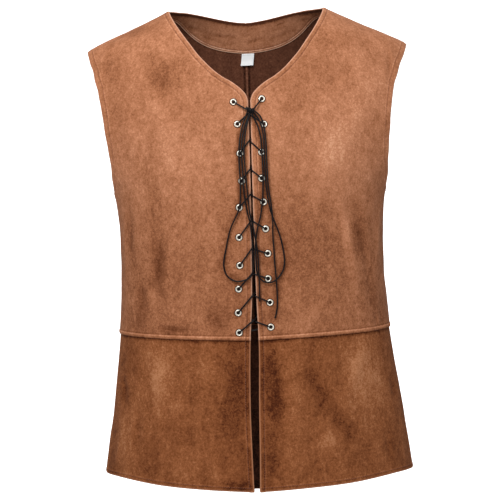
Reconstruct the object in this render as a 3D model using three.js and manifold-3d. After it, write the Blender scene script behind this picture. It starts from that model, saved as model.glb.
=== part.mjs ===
// Pirate vest: a sleeveless suede-cloth bodice with a flared skirt below the waist seam,
// laced up the front through ten pairs of eyelets, and tied at the neck in a bow.
//
// Millimetres, +Z up. The origin is midway between the two high shoulder points.
// The front faces -Y and the side called left lies on -X.
//
// The garment is filled out and hollow. Its skin is a stack of rounded rings, and each
// cloth piece is a patch of that skin with a wall, so neighbours follow the same form.

import * as THREE from 'three';
import { mergeVertices } from 'three/addons/utils/BufferGeometryUtils.js';
import Module from 'manifold-3d';

const wasm = await Module();
wasm.setup();

// ---------------------------------------------------------------- driving sizes

const CLOTH = 1.2; // wall of the cloth
const SEAM = 0.3; // clear space at each seam and lap
const LAP = 3.5; // how far the skirt runs up behind the bodice
const UNDER = -(CLOTH + SEAM); // lift of a layer that lies just inside another
const QUARTER = Math.PI / 2; // ring angle from the centre line to the side

const SHOULDER_TIP = -58.7;
const UNDERARM = -270;
const WAIST = { centre: -487, side: -477.5, back: -482 };
const HEM = { centre: -697.5, side: -687, back: -743 };
const HEM_BEND = 0.15; // share of a back quarter over which the hem turns level
const SKIRT_ROWS = 7;

const EYELET = { hole: 2.5, barrel: 3.0, flange: 4.5, crown: 1.65, seat: 1.0, sides: 10 };
const EYELET_CUT = 3.3; // radius of the hole in the cloth

const CORD = { radius: 1, sides: 8 };
const KNOT = { x: 1.3, z: -165, lift: 8, wide: 5, tall: 3.6, deep: 3.6 };
const LABEL = { half: 10.5, top: -50.1, bottom: -69.2, wall: 1.0 };

// Rings of the skin: half width at the left side, how much wider the right side is, depth
// to the front and to the back, and roundness, which is 2 for an ellipse, more where
// squarer, and less where pointed.
const RINGS = [
  { z: 6, half: 103.5, wider: 0, front: 57.5, back: 75.5, round: 1.58 },
  { z: 0, half: 115.7, wider: 0, front: 60, back: 78, round: 1.6 },
  { z: -28, half: 174, wider: 0, front: 72, back: 90, round: 1.7 },
  { z: -58.7, half: 237.9, wider: 0, front: 85, back: 100, round: 1.9 },
  { z: -97, half: 257, wider: 0, front: 95, back: 108, round: 2.1 },
  { z: -126, half: 264, wider: 0, front: 101, back: 113, round: 2.2 },
  { z: -180, half: 248, wider: 0, front: 111, back: 120, round: 2.3 },
  { z: -230, half: 220, wider: 0, front: 117.5, back: 122, round: 2.3 },
  { z: -252, half: 210.5, wider: 0, front: 119.5, back: 121.5, round: 2.3 },
  { z: -270, half: 202.5, wider: 0, front: 120.5, back: 120, round: 2.3 },
  { z: -310, half: 197.3, wider: 0, front: 120.5, back: 115, round: 2.3 },
  { z: -345, half: 196, wider: 0, front: 119.5, back: 110, round: 2.3 },
  { z: -420, half: 196.4, wider: 0, front: 117, back: 106, round: 2.2 },
  { z: -480, half: 200, wider: 3, front: 118, back: 110, round: 2.1 },
  { z: -540, half: 207.7, wider: 4.5, front: 122, back: 117, round: 1.95 },
  { z: -585, half: 214.2, wider: 5.5, front: 126, back: 124, round: 1.85 },
  { z: -700, half: 230, wider: 5.5, front: 135, back: 133, round: 1.7 },
  { z: -760, half: 238, wider: 5.5, front: 139.5, back: 138.5, round: 1.7 },
];

// Armholes: distance of each edge from the middle of the garment.
const ARMHOLE = [
  { z: SHOULDER_TIP, left: 237.9, right: 237.9 },
  { z: -75, left: 232, right: 230.5 },
  { z: -97, left: 225.5, right: 221.5 },
  { z: -126, left: 217.5, right: 211 },
  { z: -180, left: 209.5, right: 203 },
  { z: -230, left: 202.5, right: 200.5 },
  { z: -252, left: 200.8, right: 200.8 },
  { z: UNDERARM, left: 200.4, right: 200.4 },
];

// Front opening: distance of each front edge from the middle.
const OPENING = [
  { z: -140, left: 2.1, right: 2.1 },
  { z: -165, left: 1.9, right: 1.9 },
  { z: -222, left: 1.9, right: 1.9 },
  { z: -293, left: 1.9, right: 1.9 },
  { z: -360, left: 2.2, right: 2.1 },
  { z: -430, left: 3.5, right: 2.9 },
  { z: -494, left: 7.4, right: 4.6 },
  { z: -577, left: 9.4, right: 2.8 },
  { z: -640, left: 8.7, right: 2.0 },
  { z: -700, left: 7.4, right: 0.8 },
];

// Rows of a front bodice: where each starts on the neckline, and where it ends on the
// shoulder seam and the armhole. Below the neckline rows start on the front edge.
const NECK_ROWS = [
  { x: 115.7, z: 0, end: 0 },
  { x: 112.8, z: -10, end: -14 },
  { x: 104.5, z: -28, end: -29 },
  { x: 94, z: -46, end: -45 },
  { x: 82.6, z: -63, end: SHOULDER_TIP },
  { x: 73, z: -77, end: -61.5 },
  { x: 62.9, z: -89, end: -70 },
  { x: 51, z: -101.5, end: -84 },
  { x: 39, z: -111.5, end: -104 },
  { x: 22.8, z: -122, end: -126 },
  { x: 11.1, z: -132, end: -145 },
  { x: 4.5, z: -141, end: -160 },
];

const FRONT_ROWS = [
  { z: -153, end: -172 },
  { z: -178, end: -198 },
  { z: -204, end: -222 },
  { z: -230, end: -242 },
  { z: -256, end: -257 },
  { z: -279, end: -265.5 },
  { z: -300, end: -269.2 },
  { z: -318, end: UNDERARM },
  { z: -342, end: -305 },
  { z: -368, end: -345 },
  { z: -398, end: -385 },
  { z: -428, end: -420 },
  { z: -457, end: -451 },
  { z: WAIST.centre, end: WAIST.side },
];

// Rows of a back bodice, from the centre back seam. The first four carry the neck band.
// arch says how far a row rises in an arch on its way to the side, and swell how much
// higher it stands at the middle of that way.
const BAND_ROWS = 4;
const ARCH_REACH = 0.74; // share of a row by which its arch has risen
const SWELL_POWER = 1.6; // how level a swell starts and ends
const BACK_ROWS = [
  { z: -6, end: 0, arch: 1, swell: 4 },
  { z: -20.5, end: -3, arch: 1, swell: 3.8 },
  { z: -35, end: -6, arch: 1, swell: 3.6 },
  { z: -49.6, end: -9, arch: 1, swell: 3.3 },
  { z: -63, end: -34, arch: 0.75, swell: 2 },
  { z: -78, end: SHOULDER_TIP, arch: 0.5, swell: 1 },
  { z: -90, end: -61.5, arch: 0.3, swell: 0.4 },
  { z: -104, end: -72, arch: 0.15, swell: 0 },
  { z: -122, end: -90, arch: 0, swell: 0 },
  { z: -142, end: -116, arch: 0, swell: 0 },
  { z: -164, end: -146, arch: 0, swell: 0 },
  { z: -188, end: -178, arch: 0, swell: 0 },
  { z: -212, end: -210, arch: 0, swell: 0 },
  { z: -236, end: -238, arch: 0, swell: 0 },
  { z: -258, end: -257, arch: 0, swell: 0 },
  { z: -278, end: -265.5, arch: 0, swell: 0 },
  { z: -297, end: -269.2, arch: 0, swell: 0 },
  { z: -316, end: UNDERARM, arch: 0, swell: 0 },
  { z: -350, end: -318, arch: 0, swell: 0 },
  { z: -392, end: -372, arch: 0, swell: 0 },
  { z: -438, end: -428, arch: 0, swell: 0 },
  { z: WAIST.back, end: WAIST.side, arch: 0, swell: 0 },
];

// Shares of a quarter ring at which the columns of cloth stand.
const FRONT_COLUMNS = [0, 0.025, 0.072, 0.146, 0.245, 0.36, 0.49, 0.63, 0.77, 0.9, 1];
const BACK_COLUMNS = [0, 0.12, 0.25, 0.38, 0.51, 0.64, 0.77, 0.9, 1];
const SKIRT_SEAM_COLUMN = 9; // front column on which the skirt's side seam lies

// Eyelets, from the neck down: distance from the middle, height, and the height at which
// the two strands cross in the opening on their way up to the pair above.
const EYELETS = [
  { leftX: 22.4, leftZ: -150, rightX: 18, rightZ: -146.4, cross: null },
  { leftX: 17.5, leftZ: -182, rightX: 20, rightZ: -183, cross: -168 },
  { leftX: 15, leftZ: -224, rightX: 15.5, rightZ: -222.8, cross: -206 },
  { leftX: 13.5, leftZ: -263, rightX: 14.4, rightZ: -259.8, cross: -246 },
  { leftX: 18, leftZ: -300, rightX: 16.3, rightZ: -293, cross: -282 },
  { leftX: 19.3, leftZ: -342, rightX: 18.3, rightZ: -330.8, cross: -318 },
  { leftX: 19.3, leftZ: -381.5, rightX: 20.5, rightZ: -365.5, cross: -357 },
  { leftX: 21.8, leftZ: -414.6, rightX: 20, rightZ: -400.9, cross: -392 },
  { leftX: 23.2, leftZ: -448, rightX: 21.8, rightZ: -434.6, cross: -423 },
  { leftX: 22.6, leftZ: -476, rightX: 22, rightZ: -469.2, cross: -459 },
];

// Bends of the lace where it passes through an eyelet or between the front edges:
// distance along the cloth and lift off it, near the hole and further out.
const HOLE_BEND = { near: 0.9, nearLift: 2.3, far: 2.6, farLift: 3.0 };
const EDGE_BEND = { near: 1.5, nearLift: 1.8, far: 3.8, farLift: 2.7 };
const CROSSING_GAP = 1.6; // each strand's height off the middle of a crossing

// Routes of the bow, each point as x, z and lift off the cloth.
const LEFT_LOOP = [
  [-3.2, -167.6, 7.0], [-6.0, -173.5, 6.2], [-9.2, -182, 5.4], [-12.8, -194.5, 5.3],
  [-15.8, -215, 5.3], [-16.4, -236, 5.3], [-15.8, -256, 5.3], [-15.6, -277, 5.3],
  [-16.6, -294, 5.3], [-19.6, -306, 5.3], [-24.4, -316, 5.3], [-29.8, -327, 4.6],
  [-34.2, -341, 3.6], [-37.5, -356, 2.8], [-40.6, -370, 2.3], [-41.7, -382, 2.1],
  [-38.8, -393, 2.1], [-32.6, -400, 2.8], [-23.6, -403.5, 4.6], [-13.6, -402.5, 5.3],
  [-5.4, -398.3, 5.3], [-1.4, -391, 5.3], [-0.6, -377, 5.3], [-0.8, -357.5, 5.3],
  [-1.6, -341, 5.3], [-3.4, -321.5, 5.3], [-6.8, -307.5, 5.3], [-9.6, -291, 5.3],
  [-11.2, -273, 5.3], [-11.8, -252.5, 5.3], [-12.8, -229, 5.3], [-11.8, -208.5, 5.3],
  [-8.2, -190, 5.4], [-3.8, -178, 6.0], [-0.9, -169.4, 7.0],
];

const RIGHT_LOOP = [
  [5.9, -167.7, 6.8], [9.6, -172.4, 5.9], [13.1, -178, 5.4], [16.9, -190, 5.3],
  [18.8, -209.5, 5.3], [19.1, -230, 5.3], [19.5, -250.5, 5.3], [20.4, -271.5, 5.3],
  [22.8, -292, 5.3], [26.4, -308.5, 5.0], [31.2, -322.5, 4.2], [36.1, -335.5, 3.2],
  [40, -349.5, 2.4], [42.6, -364, 2.1], [43.6, -376.5, 2.1], [42, -387.5, 2.1],
  [37.8, -395.5, 2.3], [31.9, -402, 3.0], [24.4, -406, 4.6], [15.9, -405.5, 5.3],
  [8.9, -400.5, 5.3], [4.6, -392, 5.3], [3.7, -376.5, 5.3], [3.2, -360, 5.3],
  [4.3, -344, 5.3], [7.1, -328.5, 5.3], [10.6, -316.5, 5.3], [13.4, -301.5, 5.3],
  [15.2, -285, 5.3], [16.2, -264, 5.3], [16.2, -243.5, 5.3], [15.6, -223, 5.3],
  [14.4, -202.5, 5.3], [10.6, -185.5, 5.4], [6.0, -175.6, 6.2], [3.3, -169.8, 7.0],
];

const LEFT_END = [
  [0.9, -169.3, 9.4], [-1.4, -176, 8.6], [-4.0, -184, 7.9], [-7.4, -202, 7.8],
  [-9.4, -222.5, 7.8], [-8.6, -243, 7.8], [-7.2, -263.5, 7.8], [-5.6, -284.5, 7.8],
  [-3.4, -308, 7.8], [0.4, -327, 7.8], [3.8, -346.5, 7.8], [6.4, -367, 7.8],
  [6.9, -388, 7.8], [7.2, -408.5, 7.8], [7.1, -421, 6.4], [7.2, -432.5, 5.5],
];

const RIGHT_END = [
  [6.6, -166.2, 9.2], [11.2, -169.4, 8.8], [15.6, -175, 8.2], [19.4, -187.5, 7.8],
  [21.4, -206.5, 7.8], [22, -226, 7.8], [22.2, -245, 7.8], [22.6, -264.5, 7.8],
  [24.2, -281, 7.8], [26.6, -299, 7.8], [27.9, -319.5, 7.6], [27.8, -340, 6.0],
  [28.9, -361, 4.8], [29.5, -381.5, 5.2], [30.9, -402, 6.0], [31.8, -420, 4.0],
  [31.9, -436.5, 2.6], [30.4, -449, 2.1], [28.2, -456.5, 2.1],
];

// ---------------------------------------------------------------- materials

function finish(colour, roughness, metalness = 0) {
  return new THREE.MeshStandardMaterial({ color: colour, roughness, metalness });
}

const suede = () => finish(0x7a5636, 0.95);
const darkSuede = () => finish(0x4a2c20, 0.95);
const eyeletMetal = () => finish(0xcfc6b2, 0.35, 1);
const lace = () => finish(0x1c1b1d, 0.6);
const labelCloth = () => finish(0xe9e7e2, 0.9);

// ---------------------------------------------------------------- the skin

// Value of a table's column at a height, on a smooth curve through the rows.
function read(table, name, z) {
  const last = table.length - 1;
  let i = 0;
  while (i < last - 1 && table[i + 1].z > z) i += 1;
  const slope = (a, b) => (table[b][name] - table[a][name]) / (table[b].z - table[a].z);
  const span = table[i + 1].z - table[i].z;
  const t = THREE.MathUtils.clamp((z - table[i].z) / span, 0, 1);
  const start = slope(Math.max(i - 1, 0), i + 1) * span;
  const end = slope(i, Math.min(i + 2, last)) * span;
  const rise = table[i + 1][name] - table[i][name];
  const bend = (start - rise) * (1 - t) - (end - rise) * t;
  return table[i][name] + rise * t + t * (1 - t) * bend;
}

function sideWord(side) {
  return side < 0 ? 'left' : 'right';
}

function halfWidth(side, z) {
  return read(RINGS, 'half', z) + (side > 0 ? read(RINGS, 'wider', z) : 0);
}

// Ring angle at which the skin lies a given distance from the middle.
function angleAt(side, x, z) {
  const share = Math.min(x / halfWidth(side, z), 1);
  return Math.asin(share ** (read(RINGS, 'round', z) / 2));
}

// A point of the skin, lifted off it. side is -1 or 1, and face is 'front' or 'back'.
function skinPoint(side, face, angle, z, lift) {
  const half = halfWidth(side, z);
  const depth = read(RINGS, face, z);
  const round = read(RINGS, 'round', z);
  const across = Math.max(Math.sin(angle), 0) ** (2 / round);
  const along = Math.max(Math.cos(angle), 0) ** (2 / round);
  const facing = face === 'front' ? -1 : 1;
  const step = 0.5;
  const widening = (halfWidth(side, z + step) - halfWidth(side, z - step)) / (2 * step);
  const deepening = (read(RINGS, face, z + step) - read(RINGS, face, z - step)) / (2 * step);
  const normal = new THREE.Vector3(
    (side * across ** (round - 1)) / half,
    (facing * along ** (round - 1)) / depth,
    -(across ** round * widening) / half - (along ** round * deepening) / depth,
  ).normalize();
  const point = new THREE.Vector3(side * half * across, facing * (depth * along + SEAM / 2), z);
  point.addScaledVector(normal, lift);
  return { point, normal };
}

// A point near the front opening, given by its distance from the middle.
function onFront(x, z, lift) {
  const side = Math.sign(x) || 1;
  return skinPoint(side, 'front', angleAt(side, Math.abs(x), z), z, lift);
}

// ---------------------------------------------------------------- cloth pieces

// Share of a row's rise at a share of its way, where the row sets out level.
function levelRise(share, bend) {
  return (Math.hypot(share, bend) - bend) / (Math.hypot(1, bend) - bend);
}

// A row of cloth from one ring angle and height to another, at the shares of its columns.
function clothRow(side, face, columns, start, end) {
  const { arch = 0, swell = 0, bend = 0 } = start;
  return columns.map((share) => {
    const arched = Math.sin(QUARTER * Math.min(share / ARCH_REACH, 1)) ** 2;
    const rise = THREE.MathUtils.lerp(levelRise(share, bend), arched, arch);
    const raised = swell * Math.sin(Math.PI * share) ** SWELL_POWER;
    return {
      side,
      face,
      angle: THREE.MathUtils.lerp(start.angle, end.angle, share),
      z: THREE.MathUtils.lerp(start.z, end.z, rise) + raised,
    };
  });
}

function edgeAngle(side, z) {
  const cut = z < SHOULDER_TIP && z > UNDERARM;
  return cut ? angleAt(side, read(ARMHOLE, sideWord(side), z), z) : QUARTER;
}

function openingAngle(side, z) {
  return angleAt(side, read(OPENING, sideWord(side), z), z);
}

function frontBodiceGrid(side) {
  const rows = NECK_ROWS.map((row) => ({ ...row, angle: angleAt(side, row.x, row.z) }));
  FRONT_ROWS.forEach((row) => rows.push({ ...row, angle: openingAngle(side, row.z) }));
  return rows.map((row) => clothRow(
    side, 'front', FRONT_COLUMNS, row, { angle: edgeAngle(side, row.end), z: row.end },
  ));
}

function backBodiceGrid(side) {
  return BACK_ROWS.map((row) => clothRow(
    side, 'back', BACK_COLUMNS, { ...row, angle: angleAt(side, SEAM / 2, row.z) },
    { angle: edgeAngle(side, row.end), z: row.end },
  ));
}

// Heights of a skirt's rows, at the share down from its tucked top edge to the hem.
function skirtHeight(place, share) {
  return THREE.MathUtils.lerp(WAIST[place] + LAP, HEM[place], share);
}

function skirtShares() {
  return Array.from({ length: SKIRT_ROWS + 1 }, (_, i) => i / SKIRT_ROWS);
}

function frontSkirtRow(side, share) {
  const z = skirtHeight('centre', share);
  const start = { angle: openingAngle(side, z), z };
  const end = { angle: QUARTER, z: skirtHeight('side', share) };
  return clothRow(side, 'front', FRONT_COLUMNS, start, end);
}

// Turns a place of the grid round the ring by half a seam: direction 1 is rearward.
function seamEdge(place, direction) {
  const turn = SEAM / 2 / read(RINGS, place.face, place.z);
  return { ...place, angle: place.angle + direction * turn };
}

function frontSkirtGrid(side) {
  return skirtShares().map((share) => {
    const row = frontSkirtRow(side, share);
    return [...row.slice(0, SKIRT_SEAM_COLUMN), seamEdge(row[SKIRT_SEAM_COLUMN], -1)];
  });
}

function backSkirtHalf(side, share) {
  const row = frontSkirtRow(side, share);
  const wrap = [seamEdge(row[SKIRT_SEAM_COLUMN], 1), ...row.slice(SKIRT_SEAM_COLUMN + 1, -1)];
  const start = { angle: 0, z: skirtHeight('back', share), bend: HEM_BEND };
  const end = { angle: QUARTER, z: skirtHeight('side', share) };
  return [...wrap, ...clothRow(side, 'back', BACK_COLUMNS, start, end).reverse()];
}

function backSkirtGrid() {
  return skirtShares().map((share) => {
    const left = backSkirtHalf(-1, share);
    const right = backSkirtHalf(1, share).reverse();
    return [...left, ...right.slice(1)];
  });
}

function bandGrid() {
  const left = backBodiceGrid(-1).slice(0, BAND_ROWS);
  const right = backBodiceGrid(1).slice(0, BAND_ROWS);
  return left.map((row, i) => [...row.reverse(), ...right[i]]);
}

function labelGrid() {
  const rows = [LABEL.top, (LABEL.top + LABEL.bottom) / 2, LABEL.bottom];
  const columns = [-1, -0.5, 0, 0.5, 1];
  return rows.map((z) => columns.map((share) => {
    const side = share < 0 ? -1 : 1;
    return { side, face: 'back', angle: angleAt(side, Math.abs(share) * LABEL.half, z), z };
  }));
}

function signedVolume(positions, triangles) {
  const corner = (i) => new THREE.Vector3().fromArray(positions, 3 * i);
  return triangles.reduce((sum, [a, b, c]) => sum + corner(a).dot(corner(b).cross(corner(c))), 0);
}

// Closed geometry of a grid of skin places: an outer and an inner sheet and a rim.
function clothGeometry(grid, lift, wall) {
  const rows = grid.length;
  const columns = grid[0].length;
  const positions = [];
  [lift + wall / 2, lift - wall / 2].forEach((height) => {
    grid.flat().forEach((p) => {
      positions.push(...skinPoint(p.side, p.face, p.angle, p.z, height).point.toArray());
    });
  });
  const index = (sheet, r, c) => sheet * rows * columns + r * columns + c;
  const same = (i, j) => [0, 1, 2].every(
    (k) => Math.abs(positions[3 * i + k] - positions[3 * j + k]) < 1e-4,
  );
  const triangles = [];
  const add = (a, b, c) => {
    if (!same(a, b) && !same(b, c) && !same(a, c)) triangles.push([a, b, c]);
  };
  const quad = (a, b, c, d) => {
    add(a, b, c);
    add(a, c, d);
  };
  for (let r = 0; r < rows - 1; r += 1) {
    for (let c = 0; c < columns - 1; c += 1) {
      quad(index(0, r, c), index(0, r + 1, c), index(0, r + 1, c + 1), index(0, r, c + 1));
      quad(index(1, r, c), index(1, r, c + 1), index(1, r + 1, c + 1), index(1, r + 1, c));
    }
    quad(index(0, r, 0), index(1, r, 0), index(1, r + 1, 0), index(0, r + 1, 0));
    const c = columns - 1;
    quad(index(0, r, c), index(0, r + 1, c), index(1, r + 1, c), index(1, r, c));
  }
  for (let c = 0; c < columns - 1; c += 1) {
    const r = rows - 1;
    quad(index(0, 0, c), index(0, 0, c + 1), index(1, 0, c + 1), index(1, 0, c));
    quad(index(0, r, c), index(1, r, c), index(1, r, c + 1), index(0, r, c + 1));
  }
  const inside = signedVolume(positions, triangles) < 0;
  const geometry = new THREE.BufferGeometry();
  geometry.setAttribute('position', new THREE.Float32BufferAttribute(positions, 3));
  geometry.setIndex(triangles.flatMap(([a, b, c]) => (inside ? [a, c, b] : [a, b, c])));
  return mergeVertices(geometry, 1e-4);
}

// ---------------------------------------------------------------- joins and cuts

function toSolid(geometry) {
  const bare = geometry.clone();
  bare.deleteAttribute('normal');
  bare.deleteAttribute('uv');
  const merged = mergeVertices(bare, 1e-4);
  return new wasm.Manifold(new wasm.Mesh({
    numProp: 3,
    vertProperties: new Float32Array(merged.attributes.position.array),
    triVerts: new Uint32Array(merged.index.array),
  }));
}

function toGeometry(solid) {
  const mesh = solid.getMesh();
  const geometry = new THREE.BufferGeometry();
  geometry.setAttribute('position', new THREE.BufferAttribute(mesh.vertProperties, 3));
  geometry.setIndex(new THREE.BufferAttribute(mesh.triVerts, 1));
  return geometry;
}

function eyeletPlaces(side) {
  return EYELETS.map((row) => {
    const x = side < 0 ? -row.leftX : row.rightX;
    const z = side < 0 ? row.leftZ : row.rightZ;
    return { x, z, ...onFront(x, z, 0) };
  });
}

function turnTo(normal) {
  return new THREE.Quaternion().setFromUnitVectors(new THREE.Vector3(0, 1, 0), normal);
}

function cutEyeletHoles(geometry, side) {
  return toGeometry(eyeletPlaces(side).reduce((solid, { point, normal }) => {
    const drill = new THREE.CylinderGeometry(EYELET_CUT, EYELET_CUT, 8 * CLOTH, EYELET.sides);
    drill.applyQuaternion(turnTo(normal)).translate(point.x, point.y, point.z);
    return solid.subtract(toSolid(drill));
  }, toSolid(geometry)));
}

// ---------------------------------------------------------------- eyelets and lace

function eyeletGeometry() {
  const { hole, barrel, flange, crown, seat, sides } = EYELET;
  const profile = [
    [hole, -crown], [flange, -seat], [barrel, -seat], [barrel, seat],
    [flange, seat], [hole, crown], [hole, -crown],
  ];
  const ring = new THREE.LatheGeometry(profile.map(([r, h]) => new THREE.Vector2(r, h)), sides);
  ring.deleteAttribute('normal');
  ring.deleteAttribute('uv');
  return mergeVertices(ring, 1e-4);
}

// A smooth path whose steps fall on its points and evenly between them.
class RoutePath extends THREE.CatmullRomCurve3 {
  getUtoTmapping(u) {
    return u;
  }
}

function cordGeometry(points, stepsPerSpan) {
  const { radius, sides } = CORD;
  const section = Array.from({ length: sides }, (_, i) => {
    const angle = (2 * Math.PI * i) / sides;
    return new THREE.Vector2(radius * Math.cos(angle), radius * Math.sin(angle));
  });
  return new THREE.ExtrudeGeometry(new THREE.Shape(section), {
    steps: stepsPerSpan * (points.length - 1),
    bevelEnabled: false,
    extrudePath: new RoutePath(points),
  });
}

// Stations of the lace from the knot down one strand and up the other.
function laceStations() {
  const eyelet = (row, side) => ({
    x: side < 0 ? -row.leftX : row.rightX,
    z: side < 0 ? row.leftZ : row.rightZ,
    bend: HOLE_BEND,
  });
  const crossing = (row, shift) => ({ x: 0, z: row.cross + shift, bend: EDGE_BEND });
  const strand = (firstSide, over) => EYELETS.flatMap((row, i) => {
    const side = i % 2 === 0 ? firstSide : -firstSide;
    const turn = i % 2 === 0 ? over : -over;
    return i === 0 ? [eyelet(row, side)] : [crossing(row, turn), eyelet(row, side)];
  });
  return [...strand(-1, CROSSING_GAP), ...strand(1, -CROSSING_GAP).reverse()];
}

function lacedPoints() {
  const knotLeft = { x: -4.0, z: -163.4, lift: 7.4 };
  const knotRight = { x: 6.2, z: -162.6, lift: 7.4 };
  const stations = laceStations();
  const points = [onFront(knotLeft.x, knotLeft.z, knotLeft.lift).point];
  let face = 1;
  stations.forEach((here, i) => {
    const before = stations[i - 1] ?? knotLeft;
    const after = stations[i + 1] ?? knotRight;
    const { near, nearLift, far, farLift } = here.bend;
    const place = (other, distance, lift) => {
      const towards = new THREE.Vector2(other.x - here.x, other.z - here.z).setLength(distance);
      points.push(onFront(here.x + towards.x, here.z + towards.y, lift).point);
    };
    place(before, far, face * farLift);
    place(before, near, face * nearLift);
    points.push(onFront(here.x, here.z, 0).point);
    place(after, near, -face * nearLift);
    place(after, far, -face * farLift);
    face = -face;
  });
  points.push(onFront(knotRight.x, knotRight.z, knotRight.lift).point);
  return points;
}

function routePoints(route) {
  return route.map(([x, z, lift]) => onFront(x, z, lift).point);
}

// ---------------------------------------------------------------- assembly

const vest = new THREE.Group();
vest.name = 'pirate_vest';

function addPiece(parent, name, geometry, material) {
  const mesh = new THREE.Mesh(geometry, material);
  mesh.name = name;
  parent.add(mesh);
  return mesh;
}

const SIDES = [{ word: 'left', side: -1 }, { word: 'right', side: 1 }];

const cloth = new THREE.Group();
vest.add(cloth);
SIDES.forEach(({ word, side }) => {
  const front = cutEyeletHoles(clothGeometry(frontBodiceGrid(side), 0, CLOTH), side);
  addPiece(cloth, `front_bodice_${word}`, front, suede());
  const back = clothGeometry(backBodiceGrid(side), 0, CLOTH);
  addPiece(cloth, `back_bodice_${word}`, back, suede());
  const skirt = clothGeometry(frontSkirtGrid(side), UNDER, CLOTH);
  addPiece(cloth, `front_skirt_${word}`, skirt, suede());
});
addPiece(cloth, 'back_skirt', clothGeometry(backSkirtGrid(), UNDER, CLOTH), suede());
addPiece(cloth, 'back_neck_facing', clothGeometry(bandGrid(), UNDER, CLOTH), darkSuede());
addPiece(cloth, 'label', clothGeometry(labelGrid(), UNDER - SEAM, LABEL.wall), labelCloth());

const eyelets = new THREE.Group();
vest.add(eyelets);
SIDES.forEach(({ word, side }) => {
  eyeletPlaces(side).forEach(({ point, normal }, i) => {
    const name = `eyelet_${word}_${String(i + 1).padStart(2, '0')}`;
    const ring = addPiece(eyelets, name, eyeletGeometry(), eyeletMetal());
    ring.position.copy(point);
    ring.quaternion.copy(turnTo(normal));
  });
});

const tie = new THREE.Group();
vest.add(tie);
addPiece(tie, 'lace_laced', cordGeometry(lacedPoints(), 1), lace());
addPiece(tie, 'bow_loop_left', cordGeometry(routePoints(LEFT_LOOP), 1), lace());
addPiece(tie, 'bow_loop_right', cordGeometry(routePoints(RIGHT_LOOP), 1), lace());
addPiece(tie, 'bow_end_left', cordGeometry(routePoints(LEFT_END), 1), lace());
addPiece(tie, 'bow_end_right', cordGeometry(routePoints(RIGHT_END), 1), lace());

const knot = addPiece(tie, 'bow_knot', new THREE.SphereGeometry(1, 12, 8), lace());
knot.scale.set(KNOT.wide, KNOT.deep, KNOT.tall);
knot.position.copy(onFront(KNOT.x, KNOT.z, KNOT.lift).point);

export default vest;
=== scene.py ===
"""Looks of a laced suede vest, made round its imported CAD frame.

Sizes are in millimetres, and become metres where a mesh is made. The front faces -Y,
and the side called left lies on -X. The garment's skin is a stack of rounded rings.
Each cloth piece is a shell on a patch of that skin, with its creases and turned edges.
"""

import math

import bmesh
import bpy
import numpy as np
from mathutils import Matrix, Vector, noise
from mathutils.kdtree import KDTree


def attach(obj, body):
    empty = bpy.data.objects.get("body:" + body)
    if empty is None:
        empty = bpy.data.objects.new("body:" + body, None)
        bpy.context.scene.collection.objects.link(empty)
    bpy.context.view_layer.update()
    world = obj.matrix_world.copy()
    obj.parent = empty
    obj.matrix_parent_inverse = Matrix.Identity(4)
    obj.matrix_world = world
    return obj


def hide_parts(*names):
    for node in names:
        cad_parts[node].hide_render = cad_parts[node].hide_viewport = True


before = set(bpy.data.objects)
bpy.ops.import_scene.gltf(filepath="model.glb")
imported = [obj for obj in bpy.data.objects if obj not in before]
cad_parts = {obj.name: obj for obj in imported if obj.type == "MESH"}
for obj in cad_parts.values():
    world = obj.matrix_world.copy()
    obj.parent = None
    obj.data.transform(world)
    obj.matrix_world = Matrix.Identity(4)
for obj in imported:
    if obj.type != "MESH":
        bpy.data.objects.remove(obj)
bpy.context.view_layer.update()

# ------------------------------------------------------------------ sizes

MM = 0.001
FRONT, BACK = -1, 1
LEFT, RIGHT = -1, 1
SIDES = {"left": LEFT, "right": RIGHT}
SIDE_WORDS = {LEFT: "left", RIGHT: "right"}

CLOTH = 1.2  # wall of the cloth
SEAM = 0.3  # clear space between layers
LAP = 3.5  # how far the skirt runs up behind the bodice
UNDER = -(CLOTH + SEAM)  # lift of a layer that lies just inside another
TURN = 2 * math.pi
QUARTER = TURN / 4

SHOULDER_TIP = -58.7
UNDERARM = -270
WAIST = {"centre": -487, "side": -477.5, "back": -482}
HEM = {"centre": -697.5, "side": -687, "back": -743}
HEM_BEND = 0.15  # share of a back quarter over which the hem turns level
SKIRT_SEAM_SHARE = 0.9  # share of the front quarter at which the side seam lies
SKIRT_DROP = 210
HEM_LIFT = 3.0  # how much higher the hem hangs on its way to the side seam
HEM_LIFT_SPAN = (0.68, 0.2)  # share of the way at which it is highest, and its reach
HEM_TILT = 2.5  # how much lower it hangs at the right side, and higher at the left

# Widths of the cloth that set the number of cells across it.
BODICE_WIDTH = 262
FRONT_SKIRT_WIDTH = 236
SIDE_STRIP_WIDTH = 30

CELL = 3.0  # mesh size of the cloth
EDGE_CELL = 1.0  # mesh size along its edges
EDGE_REACH = 11  # width of the fine mesh along an edge

NECK_INSET = 6.2  # distance of the stitching from each turned edge
ARMHOLE_INSET = 8.5
HEM_INSET = 5.0
SHOULDER_INSET = 7.0
BAND_INSETS = (1.8, 4.4)
WELT = 4.4  # height of the raised fold along the waist

CORD_RADIUS = 1.1
CORD_SIDES = 12
STEPS_PER_SPAN = 10
BOW_STEP = 1.6  # length of a segment of the bow's cords
LACE_STEP = 0.9  # and of the laced part, which bends more

LABEL = {
    "half": 9.6, "x": 1.6, "top": -50.3, "bottom": -68.0, "lean": -2.0, "wall": 0.5,
    "stand": 0.9,
}
STITCH = {"length": 2.5, "pitch": 3.3, "radius": 0.34, "sides": 6, "sink": 0.05}
# Rings of a stitch: share of its length, size, and rise by its radius.
STITCH_RINGS = [(0, 0.35, -0.3), (0.16, 1, 0.0), (0.84, 1, 0.0), (1, 0.35, -0.3)]


def table(names, rows):
    """A table's columns by name."""
    return dict(zip(names.split(), np.array(rows, float).T))


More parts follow.
